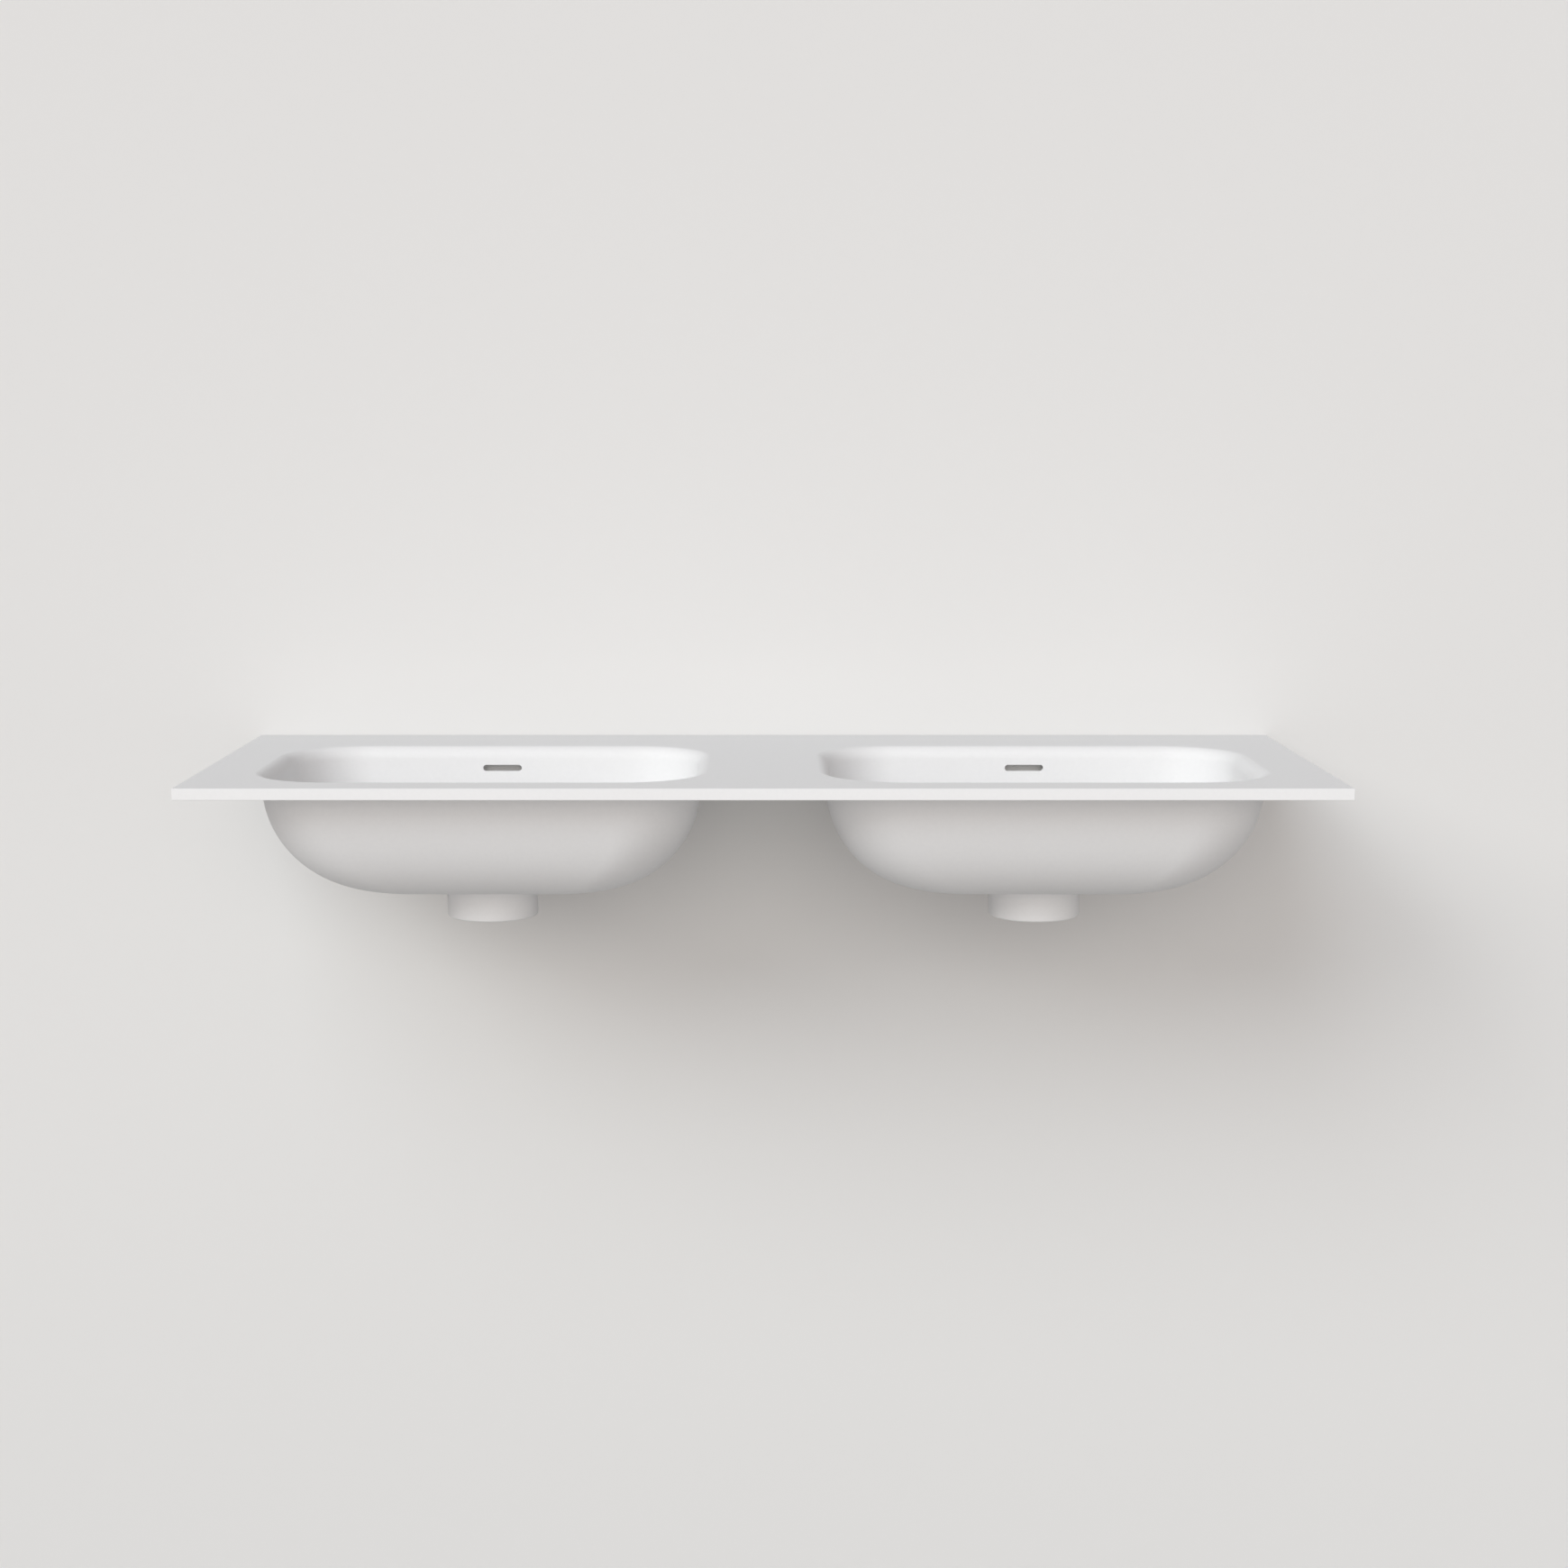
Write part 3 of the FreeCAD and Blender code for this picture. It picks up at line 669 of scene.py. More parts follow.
@dataclass(frozen=True)
class BasinForm:
    """The form of a basin: a rolled lip, a wall that turns over into the floor, and the bowl's outside.

    Attributes:
        middle: the middle of the opening in plan.
        slab_top: the height of the slab's top face.
        underside: the height of the slab's lower face.
        length: the opening, left to right.
        width: the opening, front to back.
        corner: the opening's corner radius.
        lip_radius: the roll of the lip.
        lip_run: the upright wall below the roll.
        drop: from the end of the lip to the floor.
        rim_wall: the bowl's wall where it meets the slab.
        wall: the bowl's wall at its floor.
        floor_length: the flat floor, left to right.
        floor_width: the flat floor, front to back.
        floor_corner: the flat floor's corner radius.
        drain_setback: the drain behind the opening's middle.
    """

    middle: Point
    slab_top: float
    underside: float
    length: float = 482 * MM
    width: float = 314 * MM
    corner: float = 90 * MM
    lip_radius: float = 14 * MM
    lip_run: float = 1 * MM
    drop: float = 110.5 * MM
    rim_wall: float = 6.5 * MM
    wall: float = 9.5 * MM
    floor_length: float = 221 * MM
    floor_width: float = 145 * MM
    floor_corner: float = 45 * MM
    drain_setback: float = 22 * MM

    @property
    def lip_end(self) -> float:
        """The height where the lip ends and the wall starts to turn."""
        return self.slab_top - self.lip_radius - self.lip_run

    @property
    def floor(self) -> float:
        """The height of the flat floor."""
        return self.lip_end - self.drop

    @property
    def base(self) -> float:
        """The height of the bowl's flat underside."""
        return self.floor - self.wall

    @property
    def drain(self) -> Point:
        """The drain's axis in plan."""
        return self.middle[0], self.middle[1] + self.drain_setback

    def collar(self, out: float, height: float) -> Level:
        """The throat's outline, some way outside the water surface.

        Args:
            out: the distance outside.
            height: the outline's height.

        Returns:
            The outline.
        """
        inset = out - self.lip_radius
        half = self.length / 2 + inset, self.width / 2 + inset
        return Level(half, self.corner + inset, self.middle, height)

    def lip(self, turn: float) -> Level:
        """The outline at a turn of the lip's roll, from 0 at the wall to a quarter at the top face."""
        rise = self.lip_radius * (1 - math.sin(turn))
        return self.collar(self.lip_radius * (1 - math.cos(turn)), self.slab_top - rise)

    def lip_turn(self, height: float) -> float:
        """Where on the lip's roll a height is."""
        return math.asin(1 - (self.slab_top - height) / self.lip_radius)

    def roll(self, start: float, end: float) -> list[Level]:
        """The outlines along the lip's roll between two points on it."""
        steps = math.ceil(abs(end - start) / LIP_STEP)
        return [self.lip(start + (end - start) * step / steps) for step in range(steps + 1)]

    def flat(self, height: float) -> Level:
        """The flat floor's outline at a height."""
        half = self.floor_length / 2, self.floor_width / 2
        return Level(half, self.floor_corner, self.drain, height)

    def water(self) -> WallTurn:
        """The wall's water surface, which starts to turn under the lip."""
        return WallTurn(self.collar(0, self.lip_end), self.flat(self.floor))

    def outside(self, off: float = 0.0) -> WallTurn:
        """A surface some way off the bowl's outside, which starts to turn right under the slab."""
        return WallTurn(self.collar(self.rim_wall + off, self.underside), self.flat(self.base - off))


@dataclass(frozen=True)
class TopSlab:
    """The flat top with rounded edges, both openings with the upper part of their lips, and rebates.

    Attributes:
        forms: both basins.
        edge_round: the round on its edges.
        rebate_depth: the rebate that takes a bowl's rim.
        glue_line: the room beside a bonded rim.
        lip_land: a narrow flat land round each lip.
    """

    forms: tuple[BasinForm, ...]
    edge_round: float = 0.6 * MM
    rebate_depth: float = 2 * MM
    glue_line: float = 0.2 * MM
    lip_land: float = 1 * MM

    def build(self) -> None:
        """Model the top and put it in place of its node."""
        low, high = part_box("top_slab")
        bm = block(low, high)
        bmesh.ops.bevel(
            bm, geom=bm.edges[:], offset=self.edge_round, offset_type="OFFSET", segments=EDGE_STEPS,
            profile=0.5, affect="EDGES", material=-1,
        )
        bm.normal_update()
        flats = [face for face in bm.faces if abs(face.normal.z) > 1 - MERGE]
        rims = {face.normal.z > 0: list(face.edges) for face in flats}
        bmesh.ops.delete(bm, geom=flats, context="FACES_ONLY")
        upper, lower = [rims[True]], [rims[False]]
        for form in self.forms:
            loops = [level.loop(bm) for level in self.opening(form)]
            skin(bm, loops)
            upper.append(loops[0])
            lower.append(loops[-1])
        fill(bm, *upper)
        fill(bm, *lower)
        settle(as_mesh(bm, "slab"), "slab_moulding", SOLID_SURFACE, Body.TOP.value, "top_slab")

    def opening(self, form: BasinForm) -> list[Level]:
        """The outlines of an opening, from the top face over the lip to the underside.

        Args:
            form: the basin.

        Returns:
            The outlines in order.
        """
        land = form.collar(form.lip_radius + self.lip_land, form.slab_top)
        rebate = form.rim_wall + self.glue_line
        return [
            land,
            *form.roll(QUARTER, form.lip_turn(self.rebate_depth)),
            form.collar(rebate, self.rebate_depth),
            form.collar(rebate, form.underside),
        ]


@dataclass(frozen=True)
class Bowl(Fitting):
    """A moulded bowl: the lower part of the lip, the walls, a stepped drain hole and the overflow slot.

    Attributes:
        form: the basin's form.
        rim: the height of its bonded rim.
        hole: radius of the drain hole.
        recess: radius of the recess for the waste's flange.
        recess_depth: depth of that recess.
        slot: the overflow slot's length and height.
        slot_height: the height of the slot's middle.
        slot_ease: the round on the slot's edges.
    """

    form: BasinForm
    rim: float = 2 * MM
    hole: float = 22.455 * MM
    recess: float = 33 * MM
    recess_depth: float = 3 * MM
    slot: Point = (44 * MM, 7 * MM)
    slot_height: float = -12.5 * MM
    slot_ease: float = 0.8 * MM

    def build(self) -> None:
        """Model the bowl and put it in place of its node."""
        form = self.form
        bm = bmesh.new()
        inside = (*form.roll(form.lip_turn(self.rim), 0), *form.water().levels())
        outside = (form.collar(form.rim_wall, self.rim), *form.outside().levels())
        inner, outer = ([level.loop(bm) for level in levels] for levels in (inside, outside))
        seat = form.floor - self.recess_depth
        steps = (
            (self.recess, form.floor), (self.recess, seat), (self.hole, seat), (self.hole, form.base),
        )
        drain = [ring_loop(bm, form.drain, radius, height) for radius, height in steps]
        skin(bm, inner)
        skin(bm, outer)
        skin(bm, drain)
        skin(bm, [inner[0], outer[0]])
        fill(bm, inner[-1], drain[0])
        fill(bm, outer[-1], drain[-1])
        mesh = combine(bm, (Tool.TAKE, self.slot_space()))
        self.put(mesh, "bowl_moulding", SOLID_SURFACE, self.side.named("bowl"))

    def slot_space(self) -> BMesh:
        """The overflow slot's space: a round-ended bar that flares where it meets the water surface.

        Returns:
            The space as a closed shape.
        """
        surface = self.form.collar(0, 0).rear
        flare = [FLARE * step / EDGE_STEPS for step in range(EDGE_STEPS + 1)]
        ease = self.slot_ease
        run = [(ease * (1 - math.cos(turn)), surface + ease * (1 - math.sin(turn))) for turn in flare]
        through = surface + self.form.rim_wall + OVERCUT
        spots = ((0, through), *run, (run[-1][0], self.form.middle[1]))
        bm = bmesh.new()
        loops = [self.slot_loop(bm, *spot) for spot in spots]
        skin(bm, loops)
        fill(bm, loops[0])
        fill(bm, loops[-1])
        return bm

    def slot_loop(self, bm: BMesh, grown: float, depth: float) -> list[BMEdge]:
        """The slot's outline, grown, in an upright plane at a place along Y."""
        half = Vector(self.slot) / 2 + Vector((grown, grown))
        points = [
            Vector((self.form.middle[0] + right * half.x, depth, self.slot_height + up * half.y))
            for right, up in CORNERS
        ]
        return bare_loop(bm, points, [half.y - MERGE] * len(points), SLOT_STEPS)


@dataclass(frozen=True)
class DrainBoss(Fitting):
    """The round boss under a bowl: a ring with a chamber over a web, and a window for the duct.

    Attributes:
        wall: the ring's wall.
        chamber: the height of the chamber over the web.
        web: the web's thickness.
        hole: radius of the hole in the web.
        lower_round: the round on its outer lower rim.
        inner_round: the rounds inside it.
        window: the width of the duct's window.
    """

    wall: float = 10 * MM
    chamber: float = 10 * MM
    web: float = 6 * MM
    hole: float = 22.455 * MM
    lower_round: float = 2.5 * MM
    inner_round: float = 1.2 * MM
    window: float = 52 * MM

    def build(self) -> None:
        """Model the boss and put it in place of its node."""
        node = self.packed("drain_boss")
        inner = node.radius - self.wall
        web_top = node.high - self.chamber
        web_base = web_top - self.web
        ring = node.shape(
            (inner, node.high, 0), (node.radius, node.high, 0),
            (node.radius, node.low, self.lower_round), (inner, node.low, self.inner_round),
            (inner, web_base, self.inner_round), (self.hole, web_base, 0), (self.hole, web_top, 0),
            (inner, web_top, 0),
        )
        x, y = node.middle
        low = Vector((x - self.window / 2, y, web_top))
        high = Vector((x + self.window / 2, y + 2 * node.radius, node.high + self.chamber))
        mesh = combine(ring, (Tool.TAKE, block(low, high)))
        self.put(mesh, "boss_moulding", SOLID_SURFACE, node.name)


@dataclass(frozen=True)
class OverflowDuct(Fitting):
    """The channel that hugs a bowl's rear from the overflow slot to the chamber in the boss.

    Attributes:
        form: the basin's form.
        half_width: half its width.
        depth: how far it stands off the bowl.
        wall: its wall.
        ease: the round on its outer edges.
        channel_ease: the round on the edges of its hollow.
        boss_room: radius of the room that it leaves for the boss.
        run_in: how far its ends run into the boss's room, measured from the drain's axis.
    """

    form: BasinForm
    half_width: float = 30 * MM
    depth: float = 14 * MM
    wall: float = 4 * MM
    ease: float = 3 * MM
    channel_ease: float = 1 * MM
    boss_room: float = 50.2 * MM
    run_in: float = 20 * MM

    def build(self) -> None:
        """Model the duct and put it in place of its node."""
        node = self.side.named("overflow_duct")
        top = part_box(node)[1].z
        boss = self.packed("drain_boss")
        room = boss.shape(
            (0, boss.high + self.wall, 0), (self.boss_room, boss.high + self.wall, 0),
            (self.boss_room, boss.low, 0), (0, boss.low, 0),
        )
        bar = self.sweep(self.half_width, (0, self.depth), top, self.ease)
        hollow = (-self.wall, self.depth - self.wall)
        channel = self.sweep(self.half_width - self.wall, hollow, top - self.wall, self.channel_ease)
        mesh = combine(bar, (Tool.TAKE, channel), (Tool.TAKE, room))
        self.put(mesh, "duct_moulding", DUCT_PLASTIC, node)

    def sweep(self, half_width: float, span: Point, top: float, ease: float) -> BMesh:
        """A bar along the bowl's rear, with rounded far edges and a rounded upper end.

        Args:
            half_width: half the bar's width.
            span: the distances of its near and far sides outside the bowl.
            top: the height of its upper end.
            ease: the round on its edges.

        Returns:
            The bar as a closed shape.
        """
        form = self.form
        near, far = span
        spots = []
        for step in range(EDGE_STEPS):
            turn = QUARTER * step / EDGE_STEPS
            drawn_in = ease * (1 - math.sin(turn))
            height = top - ease * (1 - math.cos(turn))
            sides = form.outside(near), form.outside(far - drawn_in)
            spots.append((half_width - drawn_in, *(side.level(side.turn_at(height)) for side in sides)))
        sides = form.outside(near), form.outside(far)
        runs = [side.levels(side.turn_at(top - ease)) for side in sides]
        spots += [(half_width, *pair) for pair in zip(*runs)]
        places = [(half, (a.rear, a.height), (b.rear, b.height)) for half, a, b in spots]
        inside = form.drain[1] + self.run_in
        places.append((half_width, (inside, spots[-1][1].height), (inside, spots[-1][2].height)))
        bm = bmesh.new()
        loops = [self.section(bm, *place, ease) for place in places]
        skin(bm, loops)
        fill(bm, loops[0])
        fill(bm, loops[-1])
        return bm

    def section(self, bm: BMesh, half: float, near: Point, far: Point, ease: float) -> list[BMEdge]:
        """One section of the bar.

        Args:
            bm: the mesh that it goes into.
            half: half its width.
            near: its near side as a place along Y and Z.
            far: its far side as a place along Y and Z.
            ease: the round on its far corners.

        Returns:
            The section's edges.
        """
        x = self.form.middle[0]
        corners = ((x - half, *near), (x - half, *far), (x + half, *far), (x + half, *near))
        return bare_loop(bm, [Vector(corner) for corner in corners], (0, ease, ease, 0), EDGE_STEPS)


@dataclass(frozen=True)
class Waste(Fitting):
    """A waste: flanged body with ports and a spider, tail tube, backnut, seals and plunger guide.

    Attributes:
        bore: radius of the water way.
        mouth: the chamfer at the mouth of the water way.
        flange: the flange's thickness.
        flange_round: the round on the flange's edge.
        tube: radius of the body's tube over its thread.
        thread_pitch: the pitch of the thread.
        thread_depth: the depth of the thread.
        socket: radius of the thread that takes the tail tube.
        engage: length of that thread.
        tail_round: the round on the tail tube's lower end.
        shoulder_round: the round on the tail tube's shoulder.
        ports: how many overflow ports.
        port: a port's width and height.
        port_height: the height of the ports' middle.
        hub: radius of the spider's hub.
        bars: how many bars the spider has.
        bar: their width.
        spider: height of the spider.
        stud: radius of the guide's stud.
        plunger: radius of the guide's bore.
        guide_floor: thickness of the guide's closed end, above the hub.
        guide_round: the round on the guide's upper edge.
        grips: how many grip grooves the guide has.
        nut_bore: radius of the backnut's thread.
        nut_chamfer: the chamfer at the ends of that thread.
        nut_sides: how many sides the backnut has.
        nut_slope: the slope of its turned-down corners.
        seal_hole: radius of the seals' holes.
        ease: the small round on turned edges.
    """

    bore: float = 17.5 * MM
    mouth: float = 1.5 * MM
    flange: float = 2.5 * MM
    flange_round: float = 0.8 * MM
    tube: float = 20.955 * MM
    thread_pitch: float = 2.309 * MM
    thread_depth: float = 1.1 * MM
    socket: float = 18.5 * MM
    engage: float = 6 * MM
    tail_round: float = 0.6 * MM
    shoulder_round: float = 0.2 * MM
    ports: int = 6
    port: Point = (10 * MM, 6 * MM)
    port_height: float = -128 * MM
    hub: float = 9 * MM
    bars: int = 4
    bar: float = 5 * MM
    spider: float = 5 * MM
    stud: float = 5 * MM
    plunger: float = 4.05 * MM
    guide_floor: float = 3.5 * MM
    guide_round: float = 0.8 * MM
    grips: int = 3
    nut_bore: float = 21.005 * MM
    nut_chamfer: float = 0.8 * MM
    nut_sides: int = 6
    nut_slope: float = math.radians(30)
    seal_hole: float = 22.455 * MM
    ease: float = 0.4 * MM

    def build(self) -> None:
        """Model the waste's pieces and put them in place of their nodes."""
        self.body()
        self.tail()
        self.backnut()
        for seal in ("flange_seal", "lower_seal"):
            self.seal(seal)
        self.guide()

    def body(self) -> None:
        """The flanged tube with its thread, ports and spider."""
        node = self.packed("waste_body")
        shoulder = node.low + self.engage
        neck = node.high - self.flange
        tube = node.shape(
            (self.bore, shoulder, 0), (self.socket, shoulder, 0), (self.socket, node.low, 0),
            *self.thread(node.low), (self.tube, neck, 0), (node.radius, neck, self.ease),
            (node.radius, node.high, self.flange_round), (self.bore + self.mouth, node.high, self.ease),
            (self.bore, node.high - self.mouth, self.ease),
        )
        hub = node.shape(
            (self.stud, shoulder, 0), (self.hub, shoulder, self.ease),
            (self.hub, shoulder + self.spider, self.ease), (self.stud, shoulder + self.spider, 0),
        )
        ports = [(Tool.TAKE, self.port_space(node, number)) for number in range(self.ports)]
        bars = [(Tool.ADD, self.spider_bar(node, number, shoulder)) for number in range(self.bars)]
        self.put(combine(tube, *ports, (Tool.ADD, hub), *bars), "waste_casting", CHROME, node.name)

    def thread(self, low: float) -> list[tuple[float, float, float]]:
        """The thread's crests and roots on the body's section, from its lower end up to the ports."""
        turns = int((self.port_height - self.port[1] - low) / self.thread_pitch)
        root = self.tube - self.thread_depth
        corners = [(root, low, 0)]
        for turn in range(turns):
            crest = low + (turn + 0.5) * self.thread_pitch
            corners += [(self.tube, crest, 0), (root, crest + self.thread_pitch / 2, 0)]
        return [*corners, (self.tube, low + (turns + 0.5) * self.thread_pitch, 0)]

    def port_space(self, node: Turning, number: int) -> BMesh:
        """The space of one overflow port."""
        width, height = self.port
        low = Vector((-width / 2, 0, self.port_height - height / 2))
        high = Vector((width / 2, node.radius, self.port_height + height / 2))
        return node.around(block(low, high), FULL_TURN * number / self.ports)

    def spider_bar(self, node: Turning, number: int, base: float) -> BMesh:
        """One bar of the spider, from its hub into the tube's wall."""
        inset = self.ease / 2
        low = Vector((-self.bar / 2, (self.stud + self.hub) / 2, base + inset))
        high = Vector((self.bar / 2, (self.bore + self.tube) / 2, base + self.spider - inset))
        return node.around(block(low, high), FULL_TURN * number / self.bars)

    def tail(self) -> None:
        """The tail tube with its shoulder and eased lower end."""
        node = self.packed("tailpiece")
        shoulder = node.high - self.engage
        threaded = self.socket - FIT_ROOM
        tube = node.shape(
            (self.bore, node.low, self.ease), (node.radius, node.low, self.tail_round),
            (node.radius, shoulder, self.shoulder_round), (threaded, shoulder, 0),
            (threaded, node.high, 0), (self.bore, node.high, 0),
        )
        self.put(as_mesh(tube, "tube"), "tail_tube", CHROME, node.name)

    def backnut(self) -> None:
        """The hexagon nut with its corners turned down."""
        node = self.packed("backnut")
        low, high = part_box(node.name)
        flats = (high.y - low.y) / 2
        turned_down = (node.radius - flats) * math.tan(self.nut_slope)
        prism = bmesh.new()
        place = Matrix.Translation((low + high) / 2) @ Matrix.Rotation(QUARTER, 4, "Z")
        bmesh.ops.create_cone(
            prism, cap_ends=True, segments=self.nut_sides, radius1=node.radius, radius2=node.radius,
            depth=node.high - node.low, matrix=place,
        )
        crown = node.shape(
            (0, node.low, 0), (flats, node.low, 0), (node.radius, node.low + turned_down, 0),
            (node.radius, node.high - turned_down, 0), (flats, node.high, 0), (0, node.high, 0),
        )
        mouth = self.nut_bore + self.nut_chamfer + OVERCUT
        below, above = node.low - OVERCUT, node.high + OVERCUT
        bore = node.shape(
            (0, below, 0), (mouth, below, 0), (self.nut_bore, node.low + self.nut_chamfer, 0),
            (self.nut_bore, node.high - self.nut_chamfer, 0), (mouth, above, 0), (0, above, 0),
        )
        self.put(combine(prism, (Tool.KEEP, crown), (Tool.TAKE, bore)), "backnut_hex", BRASS, node.name)

    def seal(self, seal: str) -> None:
        """A soft flat ring, pressed a little round at its edges."""
        node = self.packed(seal)
        self.put(as_mesh(node.washer(self.seal_hole), "ring"), f"{seal}_ring", RUBBER, node.name)

    def guide(self) -> None:
        """The plunger's guide: a barrel with grip grooves, a blind bore and a stud."""
        node = self.packed("cartridge")
        hub_top = node.low + self.spider
        floor = hub_top + self.guide_floor
        threaded = self.stud - FIT_ROOM
        grips = [
            corner
            for step in range(self.grips)
            for corner in self.grip(node.radius, hub_top + (step + 1) * self.guide_floor)
        ]
        barrel = node.shape(
            (0, node.low, 0), (threaded, node.low, self.ease), (threaded, hub_top, 0),
            (node.radius, hub_top, self.ease), *grips, (node.radius, node.high, self.guide_round),
            (self.plunger, node.high, self.ease), (self.plunger, floor, 0), (0, floor, 0),
        )
        self.put(as_mesh(barrel, "barrel"), "guide_barrel", GUIDE_PLASTIC, node.name)

    def grip(self, radius: float, height: float) -> list[tuple[float, float, float]]:
        """The corners of one shallow grip groove on a turned section."""
        deep = radius - self.ease
        return [
            (radius, height, 0), (deep, height + self.ease, 0), (deep, height + 2 * self.ease, 0),
            (radius, height + 3 * self.ease, 0),
        ]


@dataclass(frozen=True)
class Plug(Fitting):
    """What rises when a plug opens: the white cap, its soft ring and the plunger.

    Attributes:
        disc: the cap's thickness over its hub.
        upper_round: the round on the cap's upper edge.
        hub: radius of the hub under the cap.
        thread: radius of the plunger's threaded end.
        engage: length of that end in the cap.
        relief: room above it.
        ring: the soft ring's width.
        ease: the small round on edges.
    """

    disc: float = 5 * MM
    upper_round: float = 2 * MM
    hub: float = 7 * MM
    thread: float = 3 * MM
    engage: float = 7 * MM
    relief: float = 0.5 * MM
    ring: float = 7 * MM
    ease: float = 0.4 * MM

    def build(self) -> None:
        """Model the plug's pieces and put them in place of their nodes."""
        self.cap()
        self.plunger()
        node = self.packed("plug_seal")
        ring = as_mesh(node.washer(node.radius - self.ring), "ring")
        self.put(ring, "plug_ring", RUBBER, node.name, Body.PLUG)

    def cap(self) -> None:
        """The round-edged cap with its threaded hub."""
        node = self.packed("plug_cap")
        base = node.high - self.disc
        hole = self.thread + FIT_ROOM
        hole_top = node.low + self.engage + self.relief
        disc = node.shape(
            (hole, node.low, self.ease), (self.hub, node.low, self.ease), (self.hub, base, self.ease),
            (node.radius, base, self.ease), (node.radius, node.high, self.upper_round),
            (0, node.high, 0), (0, hole_top, 0), (hole, hole_top, 0),
        )
        self.put(as_mesh(disc, "disc"), "plug_disc", PLUG_WHITE, node.name, Body.PLUG)

    def plunger(self) -> None:
        """The plunger: a rod with a thinner threaded end."""
        node = self.packed("plug_stem")
        shoulder = node.high - self.engage
        rod = node.shape(
            (0, node.low, 0), (node.radius, node.low, self.ease), (node.radius, shoulder, self.ease),
            (self.thread, shoulder, 0), (self.thread, node.high, self.ease), (0, node.high, 0),
        )
        self.put(as_mesh(rod, "rod"), "plunger_rod", STEEL, node.name, Body.PLUG)


@dataclass(frozen=True)
class Lamp:
    """A large soft lamp, far off.

    Attributes:
        name: its name.
        azimuth: its bearing in degrees, to the right of straight in front.
        elevation: its height in degrees.
        spread: how wide it looks from the object, in degrees.
        strength: how bright a white sheet that faces it gets, 1 for full white.
        tint: the colour of its light.
    """

    name: str
    azimuth: float
    elevation: float
    spread: float
    strength: float
    tint: Colour

    def hang(self) -> None:
        """Make the lamp and point it at the object."""
        data = bpy.data.lights.new(self.name, "SUN")
        data.energy = math.pi * self.strength
        data.color = self.tint
        data.angle = math.radians(self.spread)
        lamp = add_object(self.name, data)
        lamp.rotation_euler = (QUARTER - math.radians(self.elevation), 0, math.radians(self.azimuth))


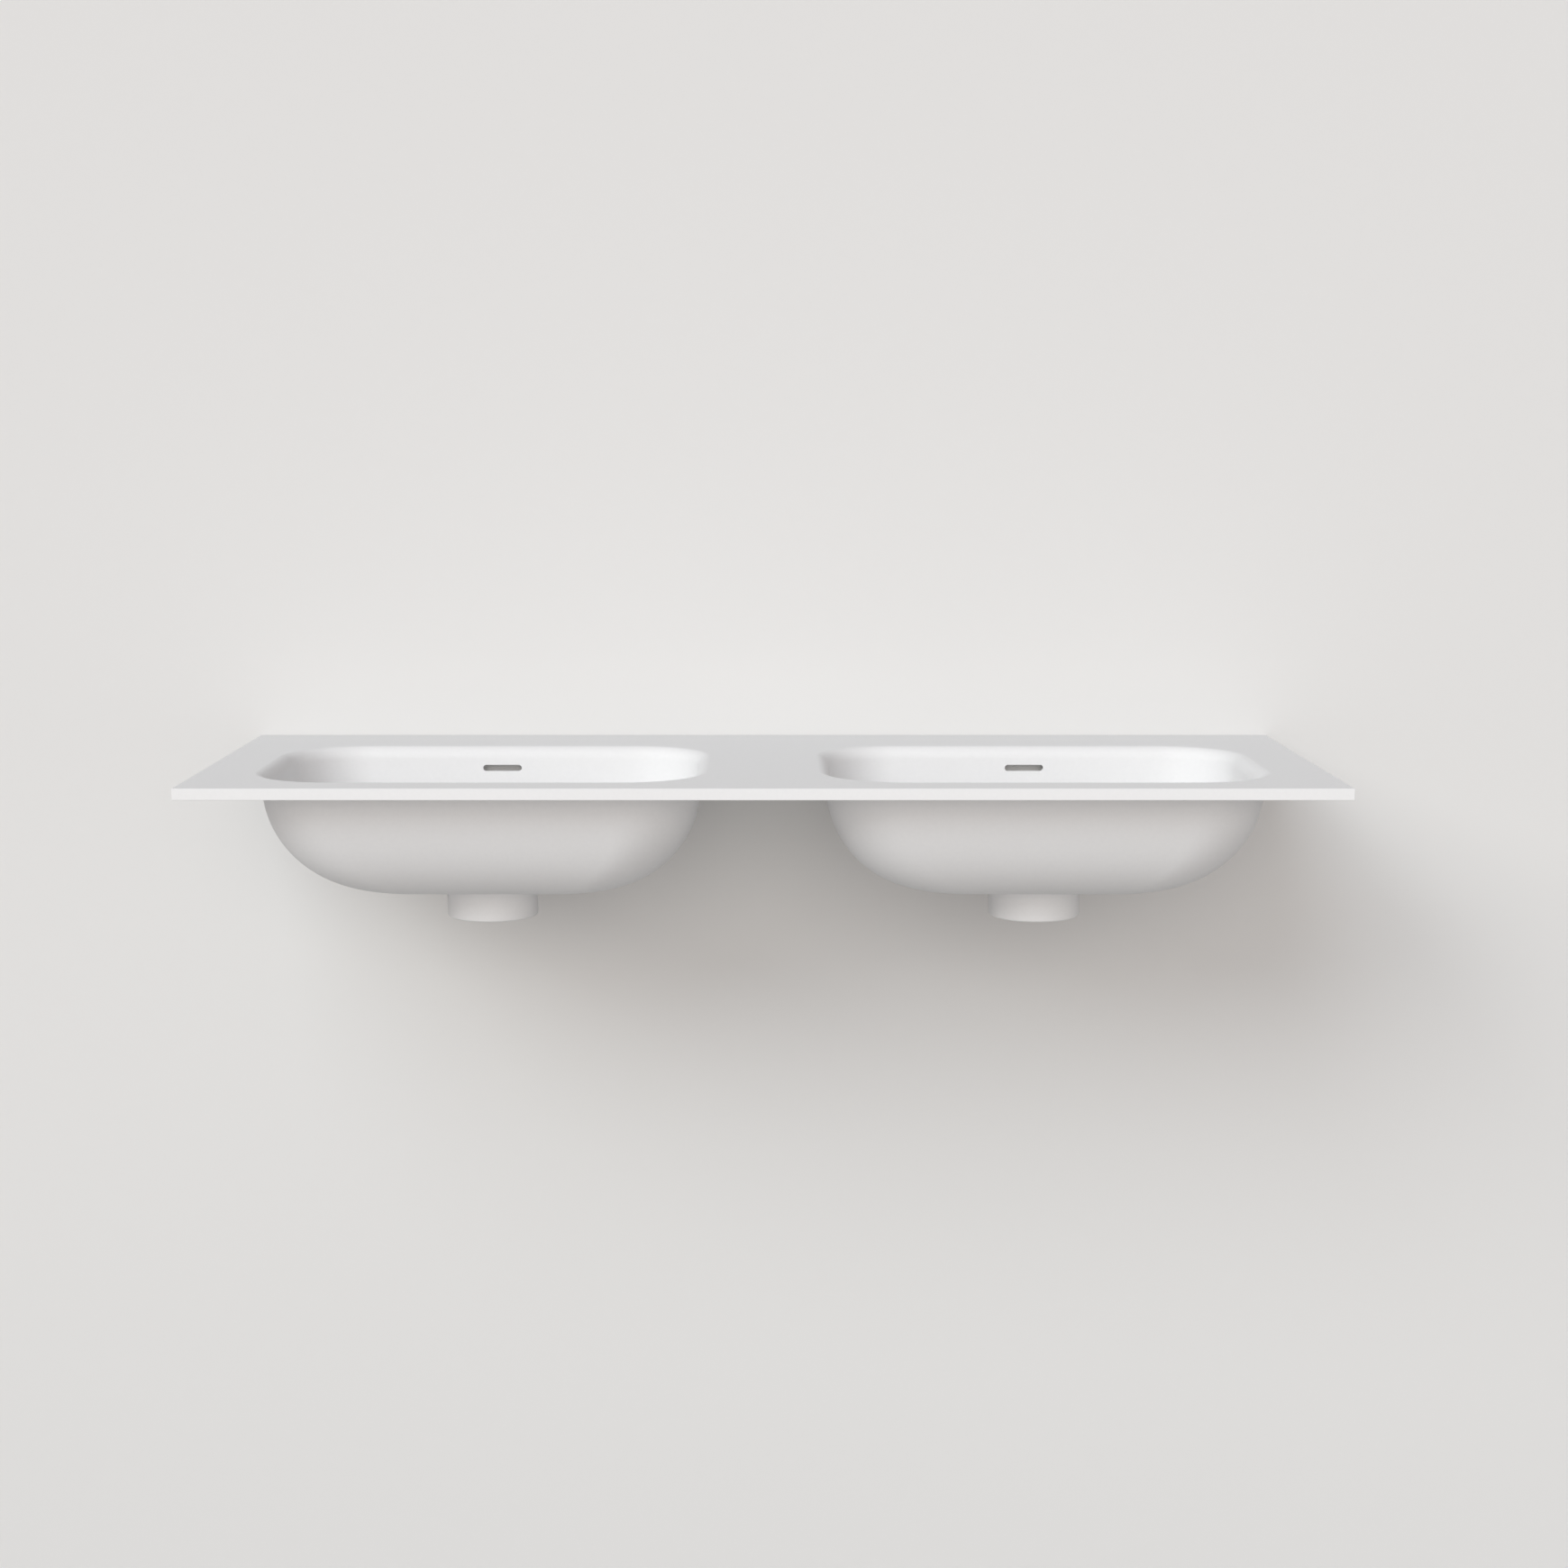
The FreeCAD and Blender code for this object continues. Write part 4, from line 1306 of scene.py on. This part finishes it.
@dataclass(frozen=True)
class Studio:
    """The wall behind the top, a floor well below it, soft lamps and the camera.

    Attributes:
        colour: the paint of wall and floor.
        roughness: how matt that paint is.
        specular: the strength of that paint's mirror reflection.
        wall_gap: between the top's rear edge and the wall.
        wall_bounce: the share of the paint's brightness with which the wall lights the object.
        floor_height: the floor, below the camera's view.
        floor_bounce: that share for the floor.
        window_margin: how far the window behind the slab's rear edge stays inside that edge.
        sky: the even light from all around, where 1 is white.
        backdrop: how the sky looks.
        lamps: the main lamps up to the front left, and a low one in front.
        reach: half the size of wall and floor.
        eye: the camera's place.
        pitch: how far the camera looks down, in degrees.
        lens: focal length on the sensor, in millimetres.
        sensor: the sensor's width, in millimetres.
        shift: the view's shift to the right, as a share of its width.
    """

    colour: Colour = (0.764, 0.761, 0.751)
    roughness: float = 0.9
    specular: float = 0.2
    wall_gap: float = 0.5 * MM
    wall_bounce: float = 0.573
    floor_height: float = -1.25
    floor_bounce: float = 0.65
    window_margin: float = 1 * MM
    sky: Colour = (0.3186, 0.292, 0.2958)
    backdrop: Colour = (0.73, 0.727, 0.718)
    lamps: tuple[Lamp, ...] = (
        Lamp("key", azimuth=-26, elevation=38.5, spread=35, strength=0.311, tint=(0.85, 0.935, 1)),
        Lamp("side", azimuth=-50, elevation=30, spread=30, strength=0.266, tint=(1, 1, 0.97)),
        Lamp("front", azimuth=0, elevation=9, spread=38, strength=0.309, tint=(1, 0.95, 0.895)),
    )
    reach: float = 6.0
    eye: tuple[float, float, float] = (0, -2.7526, 0.3667)
    pitch: float = 7.896
    lens: float = 57.72
    sensor: float = 36.0
    shift: float = 0.0132

    def build(self) -> None:
        """Set up the stage, the light and the camera."""
        behind = Matrix.Translation((0, cad_box[1].y + self.wall_gap, 0))
        wall = self.sheet(behind @ Matrix.Rotation(QUARTER, 4, "X"))
        self.cut_window(wall)
        self.paint(wall, "wall", self.wall_bounce)
        floor = self.sheet(Matrix.Translation((0, 0, self.floor_height)))
        self.paint(floor, "floor", self.floor_bounce)
        self.light()
        self.aim()

    def sheet(self, place: Matrix) -> BMesh:
        """A large plain sheet, placed from a level one at the origin."""
        bm = bmesh.new()
        bmesh.ops.create_grid(bm, x_segments=1, y_segments=1, size=self.reach, matrix=place)
        return bm

    def cut_window(self, wall: BMesh) -> None:
        """Open the wall behind the slab's rear edge, which hides the opening, to let light on it.

        Args:
            wall: the wall's sheet.
        """
        low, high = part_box("top_slab")
        margin = Vector((self.window_margin, 0, self.window_margin))
        low, high = low + margin, high - margin
        for corner in (low, high):
            for across in (Vector((1, 0, 0)), Vector((0, 0, 1))):
                parts = wall.verts[:] + wall.edges[:] + wall.faces[:]
                bmesh.ops.bisect_plane(wall, geom=parts, dist=MERGE, plane_co=corner, plane_no=across)
        middle = (low + high) / 2
        window = min(wall.faces, key=lambda face: (face.calc_center_median() - middle).xz.length)
        bmesh.ops.delete(wall, geom=[window], context="FACES")

    def paint(self, bm: BMesh, name: str, bounce: float) -> None:
        """Paint a sheet and put it in the scene as wall or floor, which shows from its front and is clear
        from its back.

        Args:
            bm: the sheet, which is used up.
            name: the sheet's name.
            bounce: the share of the paint's brightness that lights the object.
        """
        mesh = bpy.data.meshes.new(name)
        bm.to_mesh(mesh)
        bm.free()
        shader = Shader(f"{name}_paint")
        shader.fix(Roughness=self.roughness, Specular_IOR_Level=self.specular)
        dim = tuple(part * bounce for part in self.colour)
        shader.wire("Base Color", shader.tint(shader.seen(), dim, self.colour))
        back = shader.add("ShaderNodeNewGeometry").outputs["Backfacing"]
        clear = shader.add("ShaderNodeBsdfTransparent")
        mix = shader.add("ShaderNodeMixShader")
        for end, socket in zip((back, shader.surface.outputs[0], clear.outputs[0]), mix.inputs):
            shader.links.new(end, socket)
        shader.links.new(mix.outputs[0], shader.nodes["Material Output"].inputs["Surface"])
        mesh.materials.append(shader.material)
        stage = add_object(name, mesh)

    def light(self) -> None:
        """Set up an even sky, which looks like a pale backdrop, and the lamps."""
        world = bpy.data.worlds.new("soft_sky")
        world.use_nodes = True
        tree = Nodes(world.node_tree)
        sky = tree.nodes["Background"]
        sky.inputs["Strength"].default_value = 1
        tree.links.new(tree.tint(tree.seen(), self.sky, self.backdrop), sky.inputs["Color"])
        bpy.context.scene.world = world
        for lamp in self.lamps:
            lamp.hang()

    def aim(self) -> None:
        """Make the camera and set the colour display."""
        data = bpy.data.cameras.new("eye")
        data.lens = self.lens
        data.sensor_width = self.sensor
        data.shift_x = self.shift
        camera = add_object("eye", data)
        camera.location = self.eye
        camera.rotation_euler = (QUARTER - math.radians(self.pitch), 0, 0)
        bpy.context.scene.camera = camera
        bpy.context.scene.view_settings.view_transform = "Standard"


def basin_forms() -> dict[Side, BasinForm]:
    """Both basins' forms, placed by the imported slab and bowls.

    Returns:
        The forms by side.
    """
    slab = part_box("top_slab")
    forms = {}
    for side in Side:
        low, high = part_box(side.named("bowl"))
        middle = (low.x + high.x) / 2, (low.y + high.y) / 2
        forms[side] = BasinForm(middle, slab_top=slab[1].z, underside=slab[0].z)
    return forms


def main() -> None:
    """Build the scene in order."""
    logging.basicConfig(level=logging.INFO, format="%(name)s: %(message)s")
    Studio().build()
    dress_nodes()
    forms = basin_forms()
    TopSlab(tuple(forms.values())).build()
    for side, form in forms.items():
        Bowl(side, form).build()
        DrainBoss(side).build()
        OverflowDuct(side, form).build()
        Waste(side).build()
        Plug(side).build()


if __name__ == "__main__":
    main()
